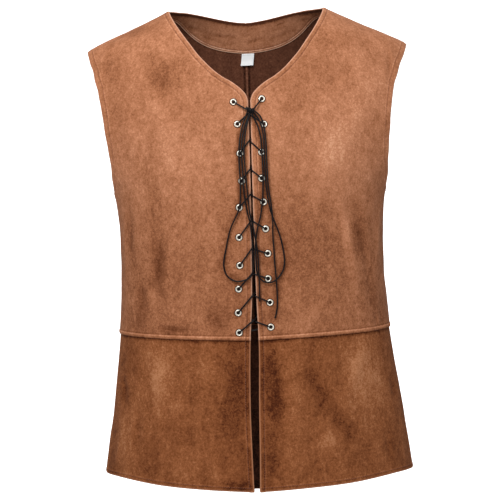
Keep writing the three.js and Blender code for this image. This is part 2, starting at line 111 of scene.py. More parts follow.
# Rings of the skin: half width at the left side, how much wider the right side is, depth
# to the front and to the back, and roundness, which is 2 for an ellipse, more where
# squarer, and less where pointed.
RINGS = table("z half wider front back round", [
    (6, 103.5, 0, 57.5, 75.5, 1.58),
    (0, 115.7, 0, 60, 78, 1.6),
    (-28, 174, 0, 72, 90, 1.7),
    (-58.7, 237.9, 0, 85, 100, 1.9),
    (-97, 257, 0, 95, 108, 2.1),
    (-126, 264, 0, 101, 113, 2.2),
    (-180, 248, 0, 111, 120, 2.3),
    (-230, 220, 0, 117.5, 122, 2.3),
    (-252, 210.5, 0, 119.5, 121.5, 2.3),
    (-270, 202.5, 0, 120.5, 120, 2.3),
    (-310, 197.3, 0, 120.5, 115, 2.3),
    (-345, 196, 0, 119.5, 110, 2.3),
    (-420, 196.4, 0, 117, 106, 2.2),
    (-480, 200, 3, 118, 110, 2.1),
    (-540, 207.7, 4.5, 122, 117, 1.95),
    (-585, 214.2, 5.5, 126, 124, 1.85),
    (-700, 230, 5.5, 135, 133, 1.7),
    (-760, 238, 5.5, 139.5, 138.5, 1.7),
])

# Armholes: distance of each edge from the middle of the garment.
ARMHOLE = table("z left right", [
    (SHOULDER_TIP, 237.9, 237.9),
    (-75, 232, 230.5),
    (-97, 225.5, 221.5),
    (-126, 217.5, 211),
    (-180, 209.5, 203),
    (-230, 202.5, 200.5),
    (-252, 200.8, 200.8),
    (UNDERARM, 200.4, 200.4),
])

# Front opening: distance of each front edge from the middle, and the share of it that is
# left between two places where the cord passes.
OPENING = table("z left right slack", [
    (-140, 2.1, 2.1, 1),
    (-165, 1.9, 1.9, 0.85),
    (-222, 1.9, 1.9, 0.72),
    (-293, 1.9, 1.9, 0.75),
    (-360, 2.2, 2.1, 1),
    (-430, 3.5, 2.9, 1),
    (-494, 7.4, 4.6, 1),
    (-577, 9.4, 2.8, 1),
    (-640, 8.7, 2.0, 1),
    (-700, 7.4, 0.8, 1),
])
PASS_REACH = 6  # how far along the opening a crossing of the cord holds it open

# Rows of a front bodice: start on the neckline, end on the shoulder seam or armhole.
NECK_ROWS = table("x z end", [
    (115.7, 0, 0),
    (112.8, -10, -14),
    (104.5, -28, -29),
    (94, -46, -45),
    (82.6, -63, SHOULDER_TIP),
    (73, -77, -61.5),
    (62.9, -89, -70),
    (51, -101.5, -84),
    (39, -111.5, -104),
    (22.8, -122, -126),
    (11.1, -132, -145),
    (4.5, -141, -160),
])
FRONT_ROWS = table("z end", [
    (-153, -172),
    (-178, -198),
    (-204, -222),
    (-230, -242),
    (-256, -257),
    (-279, -265.5),
    (-300, -269.2),
    (-318, UNDERARM),
    (-342, -305),
    (-368, -345),
    (-398, -385),
    (-428, -420),
    (-457, -451),
    (WAIST["centre"], WAIST["side"]),
])
FRONT_START = 0.05  # the first row of a front, just below the high shoulder point
FRONT_SHOULDER_ROW = 4
FRONT_UNDERARM_ROW = 19

# Rows of a back bodice, from the centre back seam. The first four carry the neck band.
# arch says how far a row rises in an arch on its way to the side, and swell how much
# higher it stands at the middle of that way.
ARCH_REACH = 0.74  # share of a row by which its arch has risen
SWELL_POWER = 1.6  # how level a swell starts and ends
BACK_ROWS = table("z end arch swell", [
    (-6, 0, 1, 4),
    (-20.5, -3, 1, 3.8),
    (-35, -6, 1, 3.6),
    (-49.6, -9, 1, 3.3),
    (-63, -34, 0.75, 2),
    (-78, SHOULDER_TIP, 0.5, 1),
    (-90, -61.5, 0.3, 0.4),
    (-104, -72, 0.15, 0),
    (-122, -90, 0, 0),
    (-142, -116, 0, 0),
    (-164, -146, 0, 0),
    (-188, -178, 0, 0),
    (-212, -210, 0, 0),
    (-236, -238, 0, 0),
    (-258, -257, 0, 0),
    (-278, -265.5, 0, 0),
    (-297, -269.2, 0, 0),
    (-316, UNDERARM, 0, 0),
    (-350, -318, 0, 0),
    (-392, -372, 0, 0),
    (-438, -428, 0, 0),
    (WAIST["back"], WAIST["side"], 0, 0),
])
BAND_LAST_ROW = 3
BACK_SHOULDER_ROW = 5
BACK_UNDERARM_ROW = 17

# Eyelets from the neck down, and the height at which the strands cross above each pair.
EYELETS = table("left_x left_z right_x right_z cross", [
    (22.4, -150, 18, -146.4, math.nan),
    (17.5, -182, 20, -183, -168),
    (15, -224, 15.5, -222.8, -206),
    (13.5, -263, 14.4, -259.8, -246),
    (18, -300, 16.3, -293, -282),
    (19.3, -342, 18.3, -330.8, -318),
    (19.3, -381.5, 20.5, -365.5, -357),
    (21.8, -414.6, 20, -400.9, -392),
    (23.2, -448, 21.8, -434.6, -423),
    (22.6, -476, 22, -469.2, -459),
])
EYELET_COUNT = len(EYELETS["cross"])
EYELET_CUT = 3.3  # radius of the hole in the cloth
LACING_TOP = -138  # the cloth that carries the eyelets is flat from here to the waist
LACING_REACH = (26, 44)  # distances from the middle from which it creases, and fully

HOLE_BEND = {"near": 0.9, "near_lift": 2.3, "far": 2.6, "far_lift": 3.0}
EDGE_BEND = {"near": 1.5, "near_lift": 1.8, "far": 3.8, "far_lift": 2.7}
CROSSING_GAP = 1.6  # each strand's height off the middle of a crossing
KNOT_LEFT = (-4.0, -163.4, 7.4)
KNOT_RIGHT = (6.2, -162.6, 7.4)
KNOT = {
    "x": 1.3, "z": -165, "lift": 8, "tilt": 0.35,
    "wraps": 4.4, "half": 5.6, "depth": 2.6, "height": 3.1, "steps": 150,
}
TUCK = {"half": 4.2, "out": 3.2, "sink": 2.6, "drop": 2.2, "steps": 30}

# Half section of an eyelet: distance from its axis and height, from the front of the
# hole out over the rolled flange, back along the barrel, and over the washer behind.
EYELET_SECTION = [
    (2.45, -1.3), (2.5, 0.9), (2.62, 1.42), (2.95, 1.75), (3.4, 1.86), (3.9, 1.78),
    (4.35, 1.5), (4.62, 1.12), (4.55, 0.85), (4.2, 0.78), (3.0, 0.8), (2.98, -0.8),
    (4.1, -0.82), (4.45, -0.95), (4.3, -1.25), (3.6, -1.5), (2.9, -1.52), (2.55, -1.42),
]
EYELET_SIDES = 40

# Half section of a thin dark ring laid on the cloth round each eyelet's flange: a painted shadow.
SHADOW_RING_SECTION = [(4.3, 0.5), (4.3, 0.72), (5.0, 0.74), (5.5, 0.68), (5.75, 0.5)]

# Routes of the bow, each point as x, z and lift off the cloth.
LEFT_LOOP = [
    (-3.2, -167.6, 7.0), (-6.0, -173.5, 6.2), (-9.2, -182, 5.4), (-12.8, -194.5, 5.3),
    (-15.8, -215, 5.3), (-16.4, -236, 5.3), (-15.8, -256, 5.3), (-15.6, -277, 5.3),
    (-16.6, -294, 5.3), (-19.6, -306, 5.3), (-24.4, -316, 5.3), (-29.8, -327, 4.6),
    (-34.2, -341, 3.6), (-37.5, -356, 2.8), (-40.6, -370, 2.3), (-41.7, -382, 2.1),
    (-38.8, -393, 2.1), (-32.6, -400, 2.8), (-23.6, -403.5, 4.6), (-13.6, -402.5, 5.3),
    (-5.4, -398.3, 5.3), (-1.4, -391, 5.3), (-0.6, -377, 5.3), (-0.8, -357.5, 5.3),
    (-1.6, -341, 5.3), (-3.4, -321.5, 5.3), (-6.8, -307.5, 5.3), (-9.6, -291, 5.3),
    (-11.2, -273, 5.3), (-11.8, -252.5, 5.3), (-12.8, -229, 5.3), (-11.8, -208.5, 5.3),
    (-8.2, -190, 5.4), (-3.8, -178, 6.0), (-0.9, -169.4, 7.0),
]
RIGHT_LOOP = [
    (5.9, -167.7, 6.8), (9.6, -172.4, 5.9), (13.1, -178, 5.4), (16.9, -190, 5.3),
    (18.8, -209.5, 5.3), (19.1, -230, 5.3), (19.5, -250.5, 5.3), (20.4, -271.5, 5.3),
    (22.8, -292, 5.3), (26.4, -308.5, 5.0), (31.2, -322.5, 4.2), (36.1, -335.5, 3.2),
    (40, -349.5, 2.4), (42.6, -364, 2.1), (43.6, -376.5, 2.1), (42, -387.5, 2.1),
    (37.8, -395.5, 2.3), (31.9, -402, 3.0), (24.4, -406, 4.6), (15.9, -405.5, 5.3),
    (8.9, -400.5, 5.3), (4.6, -392, 5.3), (3.7, -376.5, 5.3), (3.2, -360, 5.3),
    (4.3, -344, 5.3), (7.1, -328.5, 5.3), (10.6, -316.5, 5.3), (13.4, -301.5, 5.3),
    (15.2, -285, 5.3), (16.2, -264, 5.3), (16.2, -243.5, 5.3), (15.6, -223, 5.3),
    (14.4, -202.5, 5.3), (10.6, -185.5, 5.4), (6.0, -175.6, 6.2), (3.3, -169.8, 7.0),
]
LEFT_END = [
    (0.9, -169.3, 9.4), (-1.4, -176, 8.6), (-4.0, -184, 7.9), (-7.4, -202, 7.8),
    (-9.4, -222.5, 7.8), (-8.6, -243, 7.8), (-7.2, -263.5, 7.8), (-5.6, -284.5, 7.8),
    (-3.4, -308, 7.8), (0.4, -327, 7.8), (3.8, -346.5, 7.8), (6.4, -367, 7.8),
    (6.9, -388, 7.8), (7.2, -408.5, 7.8), (7.1, -421, 6.4), (7.2, -432.5, 5.5),
]
RIGHT_END = [
    (6.6, -166.2, 9.2), (11.2, -169.4, 8.8), (15.6, -175, 8.2), (19.4, -187.5, 7.8),
    (21.4, -206.5, 7.8), (22, -226, 7.8), (22.2, -245, 7.8), (22.6, -264.5, 7.8),
    (24.2, -281, 7.8), (26.6, -299, 7.8), (27.9, -319.5, 7.6), (27.8, -340, 6.0),
    (28.9, -361, 4.8), (29.5, -381.5, 5.2), (30.9, -402, 6.0), (31.8, -420, 4.0),
    (31.9, -436.5, 2.6), (30.4, -449, 2.1), (28.2, -456.5, 2.1),
]

# Creases: azimuth and height of the points, half width and depth. Azimuth
# is 0 at the centre front, 90 at the sides and 180 at the centre back. A trough is less
# than 0 and a ridge is more.
CREASES = [
    # shoulders and upper chest
    ([(-56, -64), (-59, -78)], 4, 1.2),
    ([(-54, -66), (-52, -88), (-53, -112)], 5, -1.0),
    ([(57, -66), (57, -83)], 4, 1.2),
    ([(54, -80), (51, -106), (49, -128)], 5, -1.2),
    ([(-40, -62), (-30, -106), (-23, -134), (-20, -159)], 12, -1.6),
    ([(-10, -109), (-7, -121), (-4, -137)], 4, -1.3),
    ([(33, -99), (26, -119), (21, -135)], 9, -1.3),
    ([(-28, -150), (-25, -190), (-27, -225)], 16, 1.5),
    ([(40, -140), (33, -190), (30, -240)], 18, 1.4),
    ([(-46, -150), (-48, -190), (-52, -230)], 10, -1.1),
    # left front, from the armhole to the waist
    ([(-39, -342), (-41, -374), (-44, -414)], 9, -1.9),
    ([(-33, -336), (-35, -372), (-38, -405)], 8, 1.3),
    ([(-54, -402), (-52, -445)], 7, -1.6),
    ([(-60, -301), (-62, -361)], 7, -1.4),
    ([(-66, -300), (-70, -352), (-70, -390)], 6, 1.2),
    ([(-41, -467), (-33, -471), (-25, -474)], 4, -1.4),
    ([(-17, -440), (-15, -455), (-12, -474)], 6, -1.1),
    ([(-62, -462), (-57, -472)], 4, -1.0),
    # right front
    ([(36, -291), (39, -328), (42, -352), (46, -393), (47, -425)], 7, 1.6),
    ([(43, -289), (50, -343), (54, -374), (57, -408), (57, -442)], 9, -2.0),
    ([(28, -300), (30, -345), (33, -390)], 11, -1.2),
    ([(61, -457), (61, -474)], 4, -1.3),
    ([(66, -452), (68, -472)], 4, -1.0),
    ([(70, -300), (68, -345), (66, -392)], 8, 1.2),
    ([(24, -462), (34, -469)], 4, -1.1),
    # skirt, left front
    ([(-70, -544), (-66, -560), (-66, -574)], 6, -2.2),
    ([(-54, -592), (-55, -640)], 7, -1.6),
    ([(-47, -503), (-42, -535), (-42, -580)], 14, 2.2),
    ([(-28, -500), (-27, -560), (-30, -640)], 12, -1.6),
    ([(-11, -540), (-14, -595), (-14, -640)], 12, -1.9),
    ([(-20, -640), (-19, -690)], 9, 1.5),
    ([(-66, -610), (-69, -660)], 6, 1.3),
    # skirt, right front
    ([(22, -499), (22, -538), (27, -576), (33, -603), (42, -634), (45, -661)], 13, -2.1),
    ([(29, -545), (36, -580), (44, -610)], 9, 1.6),
    ([(6, -525), (9, -554), (9, -609)], 7, -1.6),
    ([(14, -520), (16, -575), (18, -630)], 8, 1.4),
    ([(48, -511), (42, -546), (37, -580)], 11, 1.6),
    ([(69, -558), (69, -579)], 6, -1.8),
    ([(58, -635), (58, -665)], 6, -1.8),
    ([(27, -615), (34, -663)], 7, 1.6),
    # side seams, below the arms and on the hips
    ([(-84, -292), (-86, -335), (-82, -372)], 7, -1.6),
    ([(-98, -285), (-99, -330), (-94, -368)], 8, -1.5),
    ([(-91, -398), (-97, -438), (-95, -468)], 7, 1.3),
    ([(85, -288), (83, -330), (87, -366)], 7, -1.6),
    ([(99, -296), (95, -340), (96, -384)], 9, -1.5),
    ([(93, -402), (88, -436), (90, -466)], 7, 1.4),
    ([(-90, -505), (-92, -555), (-88, -610)], 12, -2.0),
    ([(-104, -515), (-108, -590), (-107, -660)], 13, 2.2),
    ([(91, -512), (88, -570), (92, -625)], 12, -2.0),
    ([(106, -500), (110, -575), (109, -655)], 13, 2.1),
    # back: between the shoulder blades, over the small of the back, and the skirt
    ([(-128, -92), (-142, -135), (-150, -190)], 12, -1.8),
    ([(126, -98), (139, -142), (146, -205)], 12, -1.7),
    ([(-118, -150), (-124, -200), (-122, -246)], 11, -1.6),
    ([(119, -140), (122, -186), (120, -236)], 10, -1.6),
    ([(-160, -120), (-163, -175), (-168, -240)], 14, 1.5),
    ([(158, -128), (165, -190), (169, -262)], 14, 1.5),
    ([(-150, -372), (-158, -402), (-172, -420)], 8, -1.7),
    ([(148, -386), (160, -412), (173, -424)], 8, -1.7),
    ([(-140, -330), (-151, -352), (-166, -366)], 9, -1.4),
    ([(138, -322), (153, -344), (168, -352)], 9, -1.4),
    ([(-128, -384), (-125, -430), (-129, -470)], 8, 1.4),
    ([(131, -372), (127, -420), (132, -466)], 8, 1.4),
    ([(-168, -452), (-172, -474)], 4, -1.2),
    ([(166, -456), (163, -474)], 4, -1.2),
    ([(-141, -458), (-138, -474)], 4, -1.1),
    ([(-134, -505), (-137, -570), (-138, -650)], 13, -2.2),
    ([(-154, -515), (-157, -590), (-155, -672)], 12, 2.2),
    ([(-172, -500), (-175, -560), (-176, -640)], 12, -1.9),
    ([(166, -508), (162, -570), (163, -662)], 13, 2.0),
    ([(143, -500), (140, -560), (136, -645)], 12, -2.2),
    ([(124, -520), (121, -590), (123, -668)], 12, 1.9),
]

# Lighter and darker patches of the nap, and painted shade and highlight along the creases: middle,
# half width and half height, and tone.
PATCHES = [
    (-26, -104, 24, 32, -0.16), (-60, -36, 34, 16, -0.13), (34, -60, 26, 18, -0.08),
    (-46, -112, 56, 56, -0.09), (44, -100, 56, 56, -0.04), (-19, -214, 30, 50, 0.09),
    (27, -219, 36, 52, 0.12), (-35, -285, 22, 30, -0.06), (-45, -420, 9, 14, 0.18),
    (-34, -471, 26, 7, -0.22), (-15, -455, 20, 16, -0.14), (50, -344, 14, 36, -0.18),
    (40, -330, 9, 38, 0.12), (61, -438, 9, 28, -0.07), (-41, -372, 12, 38, -0.15),
    (-53, -424, 12, 40, -0.13), (-62, -330, 10, 34, -0.12), (17, -362, 12, 40, -0.04),
    (-43, -532, 26, 50, 0.12), (-7, -565, 24, 72, -0.18), (-67, -564, 14, 22, -0.16),
    (-11, -690, 26, 9, -0.24), (-62, -640, 16, 40, 0.10), (43, -534, 26, 48, 0.12),
    (29, -634, 18, 14, 0.20), (24, -545, 16, 44, -0.10), (38, -620, 20, 40, -0.05),
    (50, -560, 26, 70, 0.13), (8, -575, 9, 44, -0.20), (68, -567, 13, 22, -0.10),
    (62, -643, 14, 30, -0.10), (140, -190, 40, 60, 0.12), (-146, -230, 38, 66, -0.10),
    (172, -330, 40, 44, 0.10), (-150, -430, 34, 30, -0.14), (128, -420, 22, 40, -0.14),
    (-130, -590, 34, 60, -0.16), (156, -600, 40, 52, 0.14), (-96, -600, 26, 52, 0.12),
    (98, -590, 26, 50, -0.12), (-112, -180, 22, 50, 0.10), (114, -200, 24, 50, -0.10),
]

# Creases of the neck band, on its inner face: x and height, half width and depth.
BAND_CREASES = [
    ([(2, -16), (55, -9), (96, -1)], 1.6, -0.9),
    ([(-1, -24), (52, -16), (94, -6)], 1.5, -0.7),
    ([(3, -34), (28, -27)], 1.8, -0.8),
    ([(-88, -12), (-52, -22), (-20, -25)], 2.2, -0.6),
    ([(-70, -22), (-34, -37)], 2.4, -0.5),
    ([(40, -30), (76, -18)], 2.4, -0.5),
]

LOW_PAINTED_SHADE = 0.13  # painted shade: how much darker the bodice is towards the waist
CORD_SHADE = 0.34  # painted shadow on the cloth beside the bow's cords
SIDE_PAINTED_SHADE = 0.07  # painted shade on the skirt towards its side seams
SLIT_FADE = 0.12  # how much darker the skirt is beside the slit

TURNED_RISE = 0.4  # how much the turned-in allowance lifts the cloth's face
TURNED_INNER_RISE = 0.45  # and its inner face
RIM_HIGHLIGHT = 0.75  # how light the painted highlight along a turned edge is
WELT_RISE = 0.85  # height of the fold along the waist over the cloth

# Relief and tone across an edge, as bells: strength, distance and width. The distance is
# from the stitching of a turned edge, from a seam, from the upper edge of the waist fold,
# and from the band's lower edge.
# STITCHED_TONE paints shade into the stitching's groove beside a light line, WELT_TONE a highlight
# along the waist fold's top with shade above it, and BAND_TONE shade into the band's stitching
# between light lines.
STITCHED = [(-0.35, 0, 0.8)]
STITCHED_TONE = [(0.15, 1.3, 0.7), (-0.16, -0.4, 0.8)]
SEWN = [(0.35, 3, 2.2), (-0.7, 0, 1.0)]
SEWN_TONE = [(0.20, 2.2, 1.3), (-0.35, 0, 0.8)]
SEWN_INNER_TONE = [(0.32, 0, 1.5), (-0.4, 3.6, 1.5)]
WELT_TONE = [(0.32, -0.2, 0.7), (-0.16, 1.4, 1.0)]
BAND_RELIEF = [(0.35, 1.8, 0.8), (0.35, 4.4, 0.8), (0.4, 0, 0.8)]
BAND_TONE = [(0.68, 0.3, 0.8), (0.52, 3.2, 0.7), (-0.22, 1.8, 0.7), (-0.2, 4.4, 0.8)]

# ------------------------------------------------------------------ the skin


def unit(vectors):
    return vectors / np.linalg.norm(vectors, axis=-1, keepdims=True)


def read(source, name, z):
    """Value of a table's column at heights, on a smooth curve through its rows."""
    heights, values = source["z"], source[name]
    z = np.asarray(z, float)
    last = len(heights) - 1
    i = np.clip(np.searchsorted(-heights, -z) - 1, 0, last - 1)

    def slope(a, b):
        return (values[b] - values[a]) / (heights[b] - heights[a])

    span = heights[i + 1] - heights[i]
    t = np.clip((z - heights[i]) / span, 0, 1)
    start = slope(np.maximum(i - 1, 0), i + 1) * span
    end = slope(i, np.minimum(i + 2, last)) * span
    rise = values[i + 1] - values[i]
    bend = (start - rise) * (1 - t) - (end - rise) * t
    return values[i] + rise * t + t * (1 - t) * bend


def half_width(side, z):
    """Distance of the side seam from the middle."""
    wider = np.where(np.asarray(side) > 0, read(RINGS, "wider", z), 0)
    return read(RINGS, "half", z) + wider


def angle_at(side, x, z):
    """Ring angle at which the skin lies a given distance from the middle."""
    share = np.minimum(np.asarray(x, float) / half_width(side, z), 1)
    return np.arcsin(share ** (read(RINGS, "round", z) / 2))


def skin(side, facing, angle, z, lift):
    """Points of the skin lifted off it, and its normals, as arrays."""
    side, facing, angle, z, lift = np.broadcast_arrays(side, facing, angle, z, lift)
    step = 0.5

    def depth_at(height):
        front, back = read(RINGS, "front", height), read(RINGS, "back", height)
        return np.where(facing == FRONT, front, back)

    half = half_width(side, z)
    depth = depth_at(z)
    turn = read(RINGS, "round", z)
    across = np.maximum(np.sin(angle), 0) ** (2 / turn)
    along = np.maximum(np.cos(angle), 0) ** (2 / turn)
    widening = (half_width(side, z + step) - half_width(side, z - step)) / (2 * step)
    deepening = (depth_at(z + step) - depth_at(z - step)) / (2 * step)
    normal = unit(np.stack([
        side * across ** (turn - 1) / half,
        facing * along ** (turn - 1) / depth,
        -(across ** turn) * widening / half - along ** turn * deepening / depth,
    ], axis=-1))
    clear = SEAM / 2 * np.minimum(along * 8, 1)  # closes at the side seams
    point = np.stack([side * half * across, facing * (depth * along + clear), z], axis=-1)
    return point + normal * lift[..., None], normal


def on_front(x, z, lift):
    """Points near the front opening, by their distance from the middle."""
    x = np.asarray(x, float)
    side = np.where(x < 0, LEFT, RIGHT)
    return skin(side, FRONT, angle_at(side, np.abs(x), z), z, lift)


def on_body(azimuth, z, lift=0):
    """Points all round the body, by their azimuth in degrees."""
    azimuth = np.asarray(azimuth, float)
    turned = np.radians(np.abs(azimuth))
    facing = np.where(turned > QUARTER, BACK, FRONT)
    angle = np.where(turned > QUARTER, math.pi - turned, turned)
    side = np.where(azimuth < 0, LEFT, RIGHT)
    return skin(side, facing, angle, np.asarray(z, float), lift)


# ------------------------------------------------------------------ curves


def lengths_along(points):
    """Distance of each point of a polyline from its start, along it."""
    steps = np.linalg.norm(np.diff(points, axis=0), axis=1)
    return np.concatenate([[0], np.cumsum(steps)])


def resample(points, step):
    """Points about a step apart along a polyline, both ends included."""
    points = np.asarray(points, float)
    run = lengths_along(points)
    places = np.linspace(0, run[-1], max(int(round(run[-1] / step)), 1) + 1)
    return np.stack([np.interp(places, run, points[:, k]) for k in range(3)], axis=1)


def route_curve(points):
    """A smooth curve through points, the same as the frame's cords follow."""
    points = np.asarray(points, float)
    padded = np.vstack([2 * points[0] - points[1], points, 2 * points[-1] - points[-2]])
    share = np.arange(STEPS_PER_SPAN)[:, None] / STEPS_PER_SPAN
    spans = []
    for a, b, c, d in zip(padded, padded[1:], padded[2:], padded[3:]):
        first, middle, last = (
            math.sqrt(np.linalg.norm(q - p)) for p, q in ((a, b), (b, c), (c, d))
        )
        leave = (b - a) / first - (c - a) / (first + middle) + (c - b) / middle
        arrive = (c - b) / middle - (d - b) / (middle + last) + (d - c) / last
        leave, arrive = leave * middle, arrive * middle
        cubic = 2 * b - 2 * c + leave + arrive
        square = -3 * b + 3 * c - 2 * leave - arrive
        spans.append(((cubic * share + square) * share + leave) * share + b)
    return np.vstack([*spans, points[-1:]])


def through(values, rows, corner=None):
    """Values at row numbers that need not be whole, on a curve that never overshoots."""
    values = np.asarray(values, float)
    rise = np.diff(values)
    slopes = np.zeros(len(values))
    same_way = rise[:-1] * rise[1:] > 0
    before, after = rise[:-1][same_way], rise[1:][same_way]
    slopes[1:-1][same_way] = 2 * before * after / (before + after)
    slopes[0], slopes[-1] = rise[0], rise[-1]
    leave, arrive = slopes[:-1].copy(), slopes[1:].copy()
    if corner is not None:
        leave[corner] = rise[corner]
        arrive[corner - 1] = rise[corner - 1]
    i = np.clip(np.floor(rows).astype(int), 0, len(rise) - 1)
    t = rows - i
    bend = (leave[i] - rise[i]) * (1 - t) - (arrive[i] - rise[i]) * t
    return values[i] + rise[i] * t + t * (1 - t) * bend


def bell(distance, centre, reach):
    return np.exp(-(((distance - centre) / reach) ** 2))


def bells(distance, rows):
    return sum(strength * bell(distance, centre, reach) for strength, centre, reach in rows)


def ramp(value, low, high):
    """Rises smoothly from 0 at low to 1 at high."""
    t = np.clip((value - low) / (high - low), 0, 1)
    return t * t * (3 - 2 * t)


# ------------------------------------------------------------------ materials


def srgb(*colour):
    """A colour of 0 to 255 a channel, as a node takes it."""
    def linear(value):
        share = value / 255
        return share / 12.92 if share <= 0.04045 else ((share + 0.055) / 1.055) ** 2.4

    return (*map(linear, colour), 1)


class Tree:
    """A material's node tree, with a short call for each kind of node used here."""

    def __init__(self, name):
        self.material = bpy.data.materials.new(name)
        self.material.use_nodes = True
        self.nodes = self.material.node_tree.nodes
        self.links = self.material.node_tree.links
        self.shader = self.nodes["Principled BSDF"]
        self.place = self.add("ShaderNodeTexCoord").outputs["Object"]

    def add(self, kind, inputs=None, **settings):
        node = self.nodes.new(kind)
        for name, value in settings.items():
            setattr(node, name, value)
        for name, value in (inputs or {}).items():
            self.put(node.inputs[name], value)
        return node

    def put(self, socket, value):
        if isinstance(value, bpy.types.NodeSocket):
            self.links.new(value, socket)
        else:
            socket.default_value = value

    def finished(self, **values):
        """The material, once its shader's inputs are set."""
        for name, value in values.items():
            self.put(self.shader.inputs[name.replace("_", " ")], value)
        return self.material

    def noise(self, scale, detail=2, stretch=(1, 1, 1), distortion=0):
        mapped = self.add("ShaderNodeMapping", {"Vector": self.place, "Scale": stretch})
        return self.add("ShaderNodeTexNoise", {
            "Vector": mapped.outputs["Vector"], "Scale": scale, "Detail": detail,
            "Roughness": 0.62, "Distortion": distortion,
        }).outputs["Fac"]

    def calculate(self, operation, *values):
        inputs = dict(enumerate(values))
        return self.add("ShaderNodeMath", inputs, operation=operation).outputs[0]

    def sum(self, *parts):
        """Sum of sockets and numbers, each with its factor, as (value, factor) pairs."""
        total = 0.0
        for value, factor in parts:
            total = self.calculate("MULTIPLY_ADD", value, factor, total)
        return total

    def axes(self, vector):
        return self.add("ShaderNodeSeparateXYZ", {"Vector": vector}).outputs

    def attribute(self, name):
        return self.add("ShaderNodeAttribute", attribute_name=name).outputs["Fac"]

    def colours(self, value, stops):
        """Colours along a value. A stop is a position and a colour of 0 to 255."""
        made = self.add("ShaderNodeValToRGB", {"Fac": value})
        ramp_stops = made.color_ramp.elements
        while len(ramp_stops) < len(stops):
            ramp_stops.new(0.5)
        for stop, (position, *colour) in zip(ramp_stops, stops):
            stop.position = position
            stop.color = srgb(*colour)
        return made.outputs["Color"]

    def mix(self, share, first, second):
        made = self.add("ShaderNodeMix", data_type="RGBA")
        for socket, value in ((0, share), (6, first), (7, second)):
            self.put(made.inputs[socket], value)
        return made.outputs[2]

    def bump(self, height, strength, distance, below=None):
        inputs = {"Height": height, "Strength": strength, "Distance": distance}
        if below is not None:
            inputs["Normal"] = below
        return self.add("ShaderNodeBump", inputs).outputs["Normal"]


def suede(name, stops, rim_highlight_colour, blotch=1.0, fine=1.0):
    """Brushed cloth, mottled in broad streaks, small blotches and fine speckle."""
    tree = Tree(name)
    broad = tree.noise(13, 3, (1, 1, 0.45), 0.5)
    middle = tree.noise(48, 4, (1, 1, 0.62), 0.7)
    small = tree.noise(150, 4, (1, 1, 0.8), 0.4)
    grain, speckle = tree.noise(360, 2), tree.noise(800, 1)
    layers = [
        (broad, 0.30 * blotch), (middle, 0.38 * blotch), (small, 0.45 * fine),
        (grain, 0.55 * fine), (speckle, 0.35),
    ]
    level = 0.5 - sum(factor for _, factor in layers) / 2
    # The tone attribute carries the nap's patches together with painted shade and painted
    # highlight, and the rim attribute mixes in a painted highlight along turned edges.
    mottle = tree.sum(*layers, (tree.attribute("tone"), 1.0), (1.0, level))
    cloth = tree.mix(tree.attribute("rim"), tree.colours(mottle, stops), srgb(*rim_highlight_colour))
    pile = tree.bump(tree.noise(1500, 2), 0.35, 0.0005)
    soft = tree.bump(middle, 0.4, 0.0010, pile)
    return tree.finished(
        Base_Color=cloth, Roughness=0.94, Normal=tree.bump(small, 0.55, 0.0007, soft),
        Sheen_Weight=0.05, Sheen_Roughness=0.5, Sheen_Tint=srgb(255, 214, 190),
        Specular_IOR_Level=0.08,
    )


def speckled(name, scale, detail, stops, strength, distance, **values):
    """A plain material with one fine noise in its colour and its bump."""
    tree = Tree(name)
    fine = tree.noise(scale, detail)
    return tree.finished(
        Base_Color=tree.colours(fine, stops), Normal=tree.bump(fine, strength, distance), **values
    )


def braid():
    """Round braided cord: two sets of slanting strands that pass over each other."""
    strands_round, pitch = 4, 1.6
    tree = Tree("braided_cord")
    uv = tree.axes(tree.add("ShaderNodeUVMap", uv_map="braid").outputs["UV"])
    strands = [
        tree.calculate("SINE", tree.sum((uv["X"], strands_round * TURN), (uv["Y"], slant / pitch)))
        for slant in (TURN, -TURN)
    ]
    woven = tree.calculate("MAXIMUM", *strands)
    # The strands' height also sets the cord's colour, as painted shade in the grooves between them.
    shade = tree.sum((woven, 0.28), (tree.noise(2600, 2), 0.5), (1.0, 0.05))
    return tree.finished(
        Base_Color=tree.colours(shade, [(0.1, 4, 3, 4), (0.85, 25, 20, 22)]),
        Roughness=0.36, Normal=tree.bump(shade, 0.5, 0.0003), Specular_IOR_Level=0.2,
    )


def woven_tape():
    tree = Tree("woven_tape")
    axes = tree.axes(tree.place)
    yarns = [
        tree.calculate("SINE", tree.sum((axes[axis], TURN / (pitch * MM))))
        for axis, pitch in (("X", 0.5), ("Z", 0.7))
    ]
    weave = tree.sum((yarns[0], 0.25), (yarns[1], 0.25), (1.0, 0.5))
    patchy = tree.sum((weave, 0.3), (tree.noise(220, 3), 0.7))
    return tree.finished(
        Base_Color=tree.colours(patchy, [(0.2, 246, 249, 250), (0.7, 254, 255, 255)]),
        Roughness=0.85, Normal=tree.bump(weave, 0.2, 0.0002),
    )


def studio_white():
    """White paper, lit from behind where it hangs behind the vest."""
    tree = Tree("studio_white")
    axes = tree.axes(tree.place)
    sideways = tree.calculate("ABSOLUTE", axes["X"])
    glows = []
    for place, dark, bright in ((sideways, 2.1, 1.4), (axes["Y"], 0.7, 1.4)):
        span = {"Value": place, "From Min": dark, "From Max": bright}
        glows.append(tree.add("ShaderNodeMapRange", span).outputs["Result"])
    return tree.finished(
        Base_Color=(0.9, 0.9, 0.9, 1), Roughness=0.9, Emission_Color=(1, 1, 1, 1),
        Emission_Strength=tree.calculate("MULTIPLY", *glows),
    )


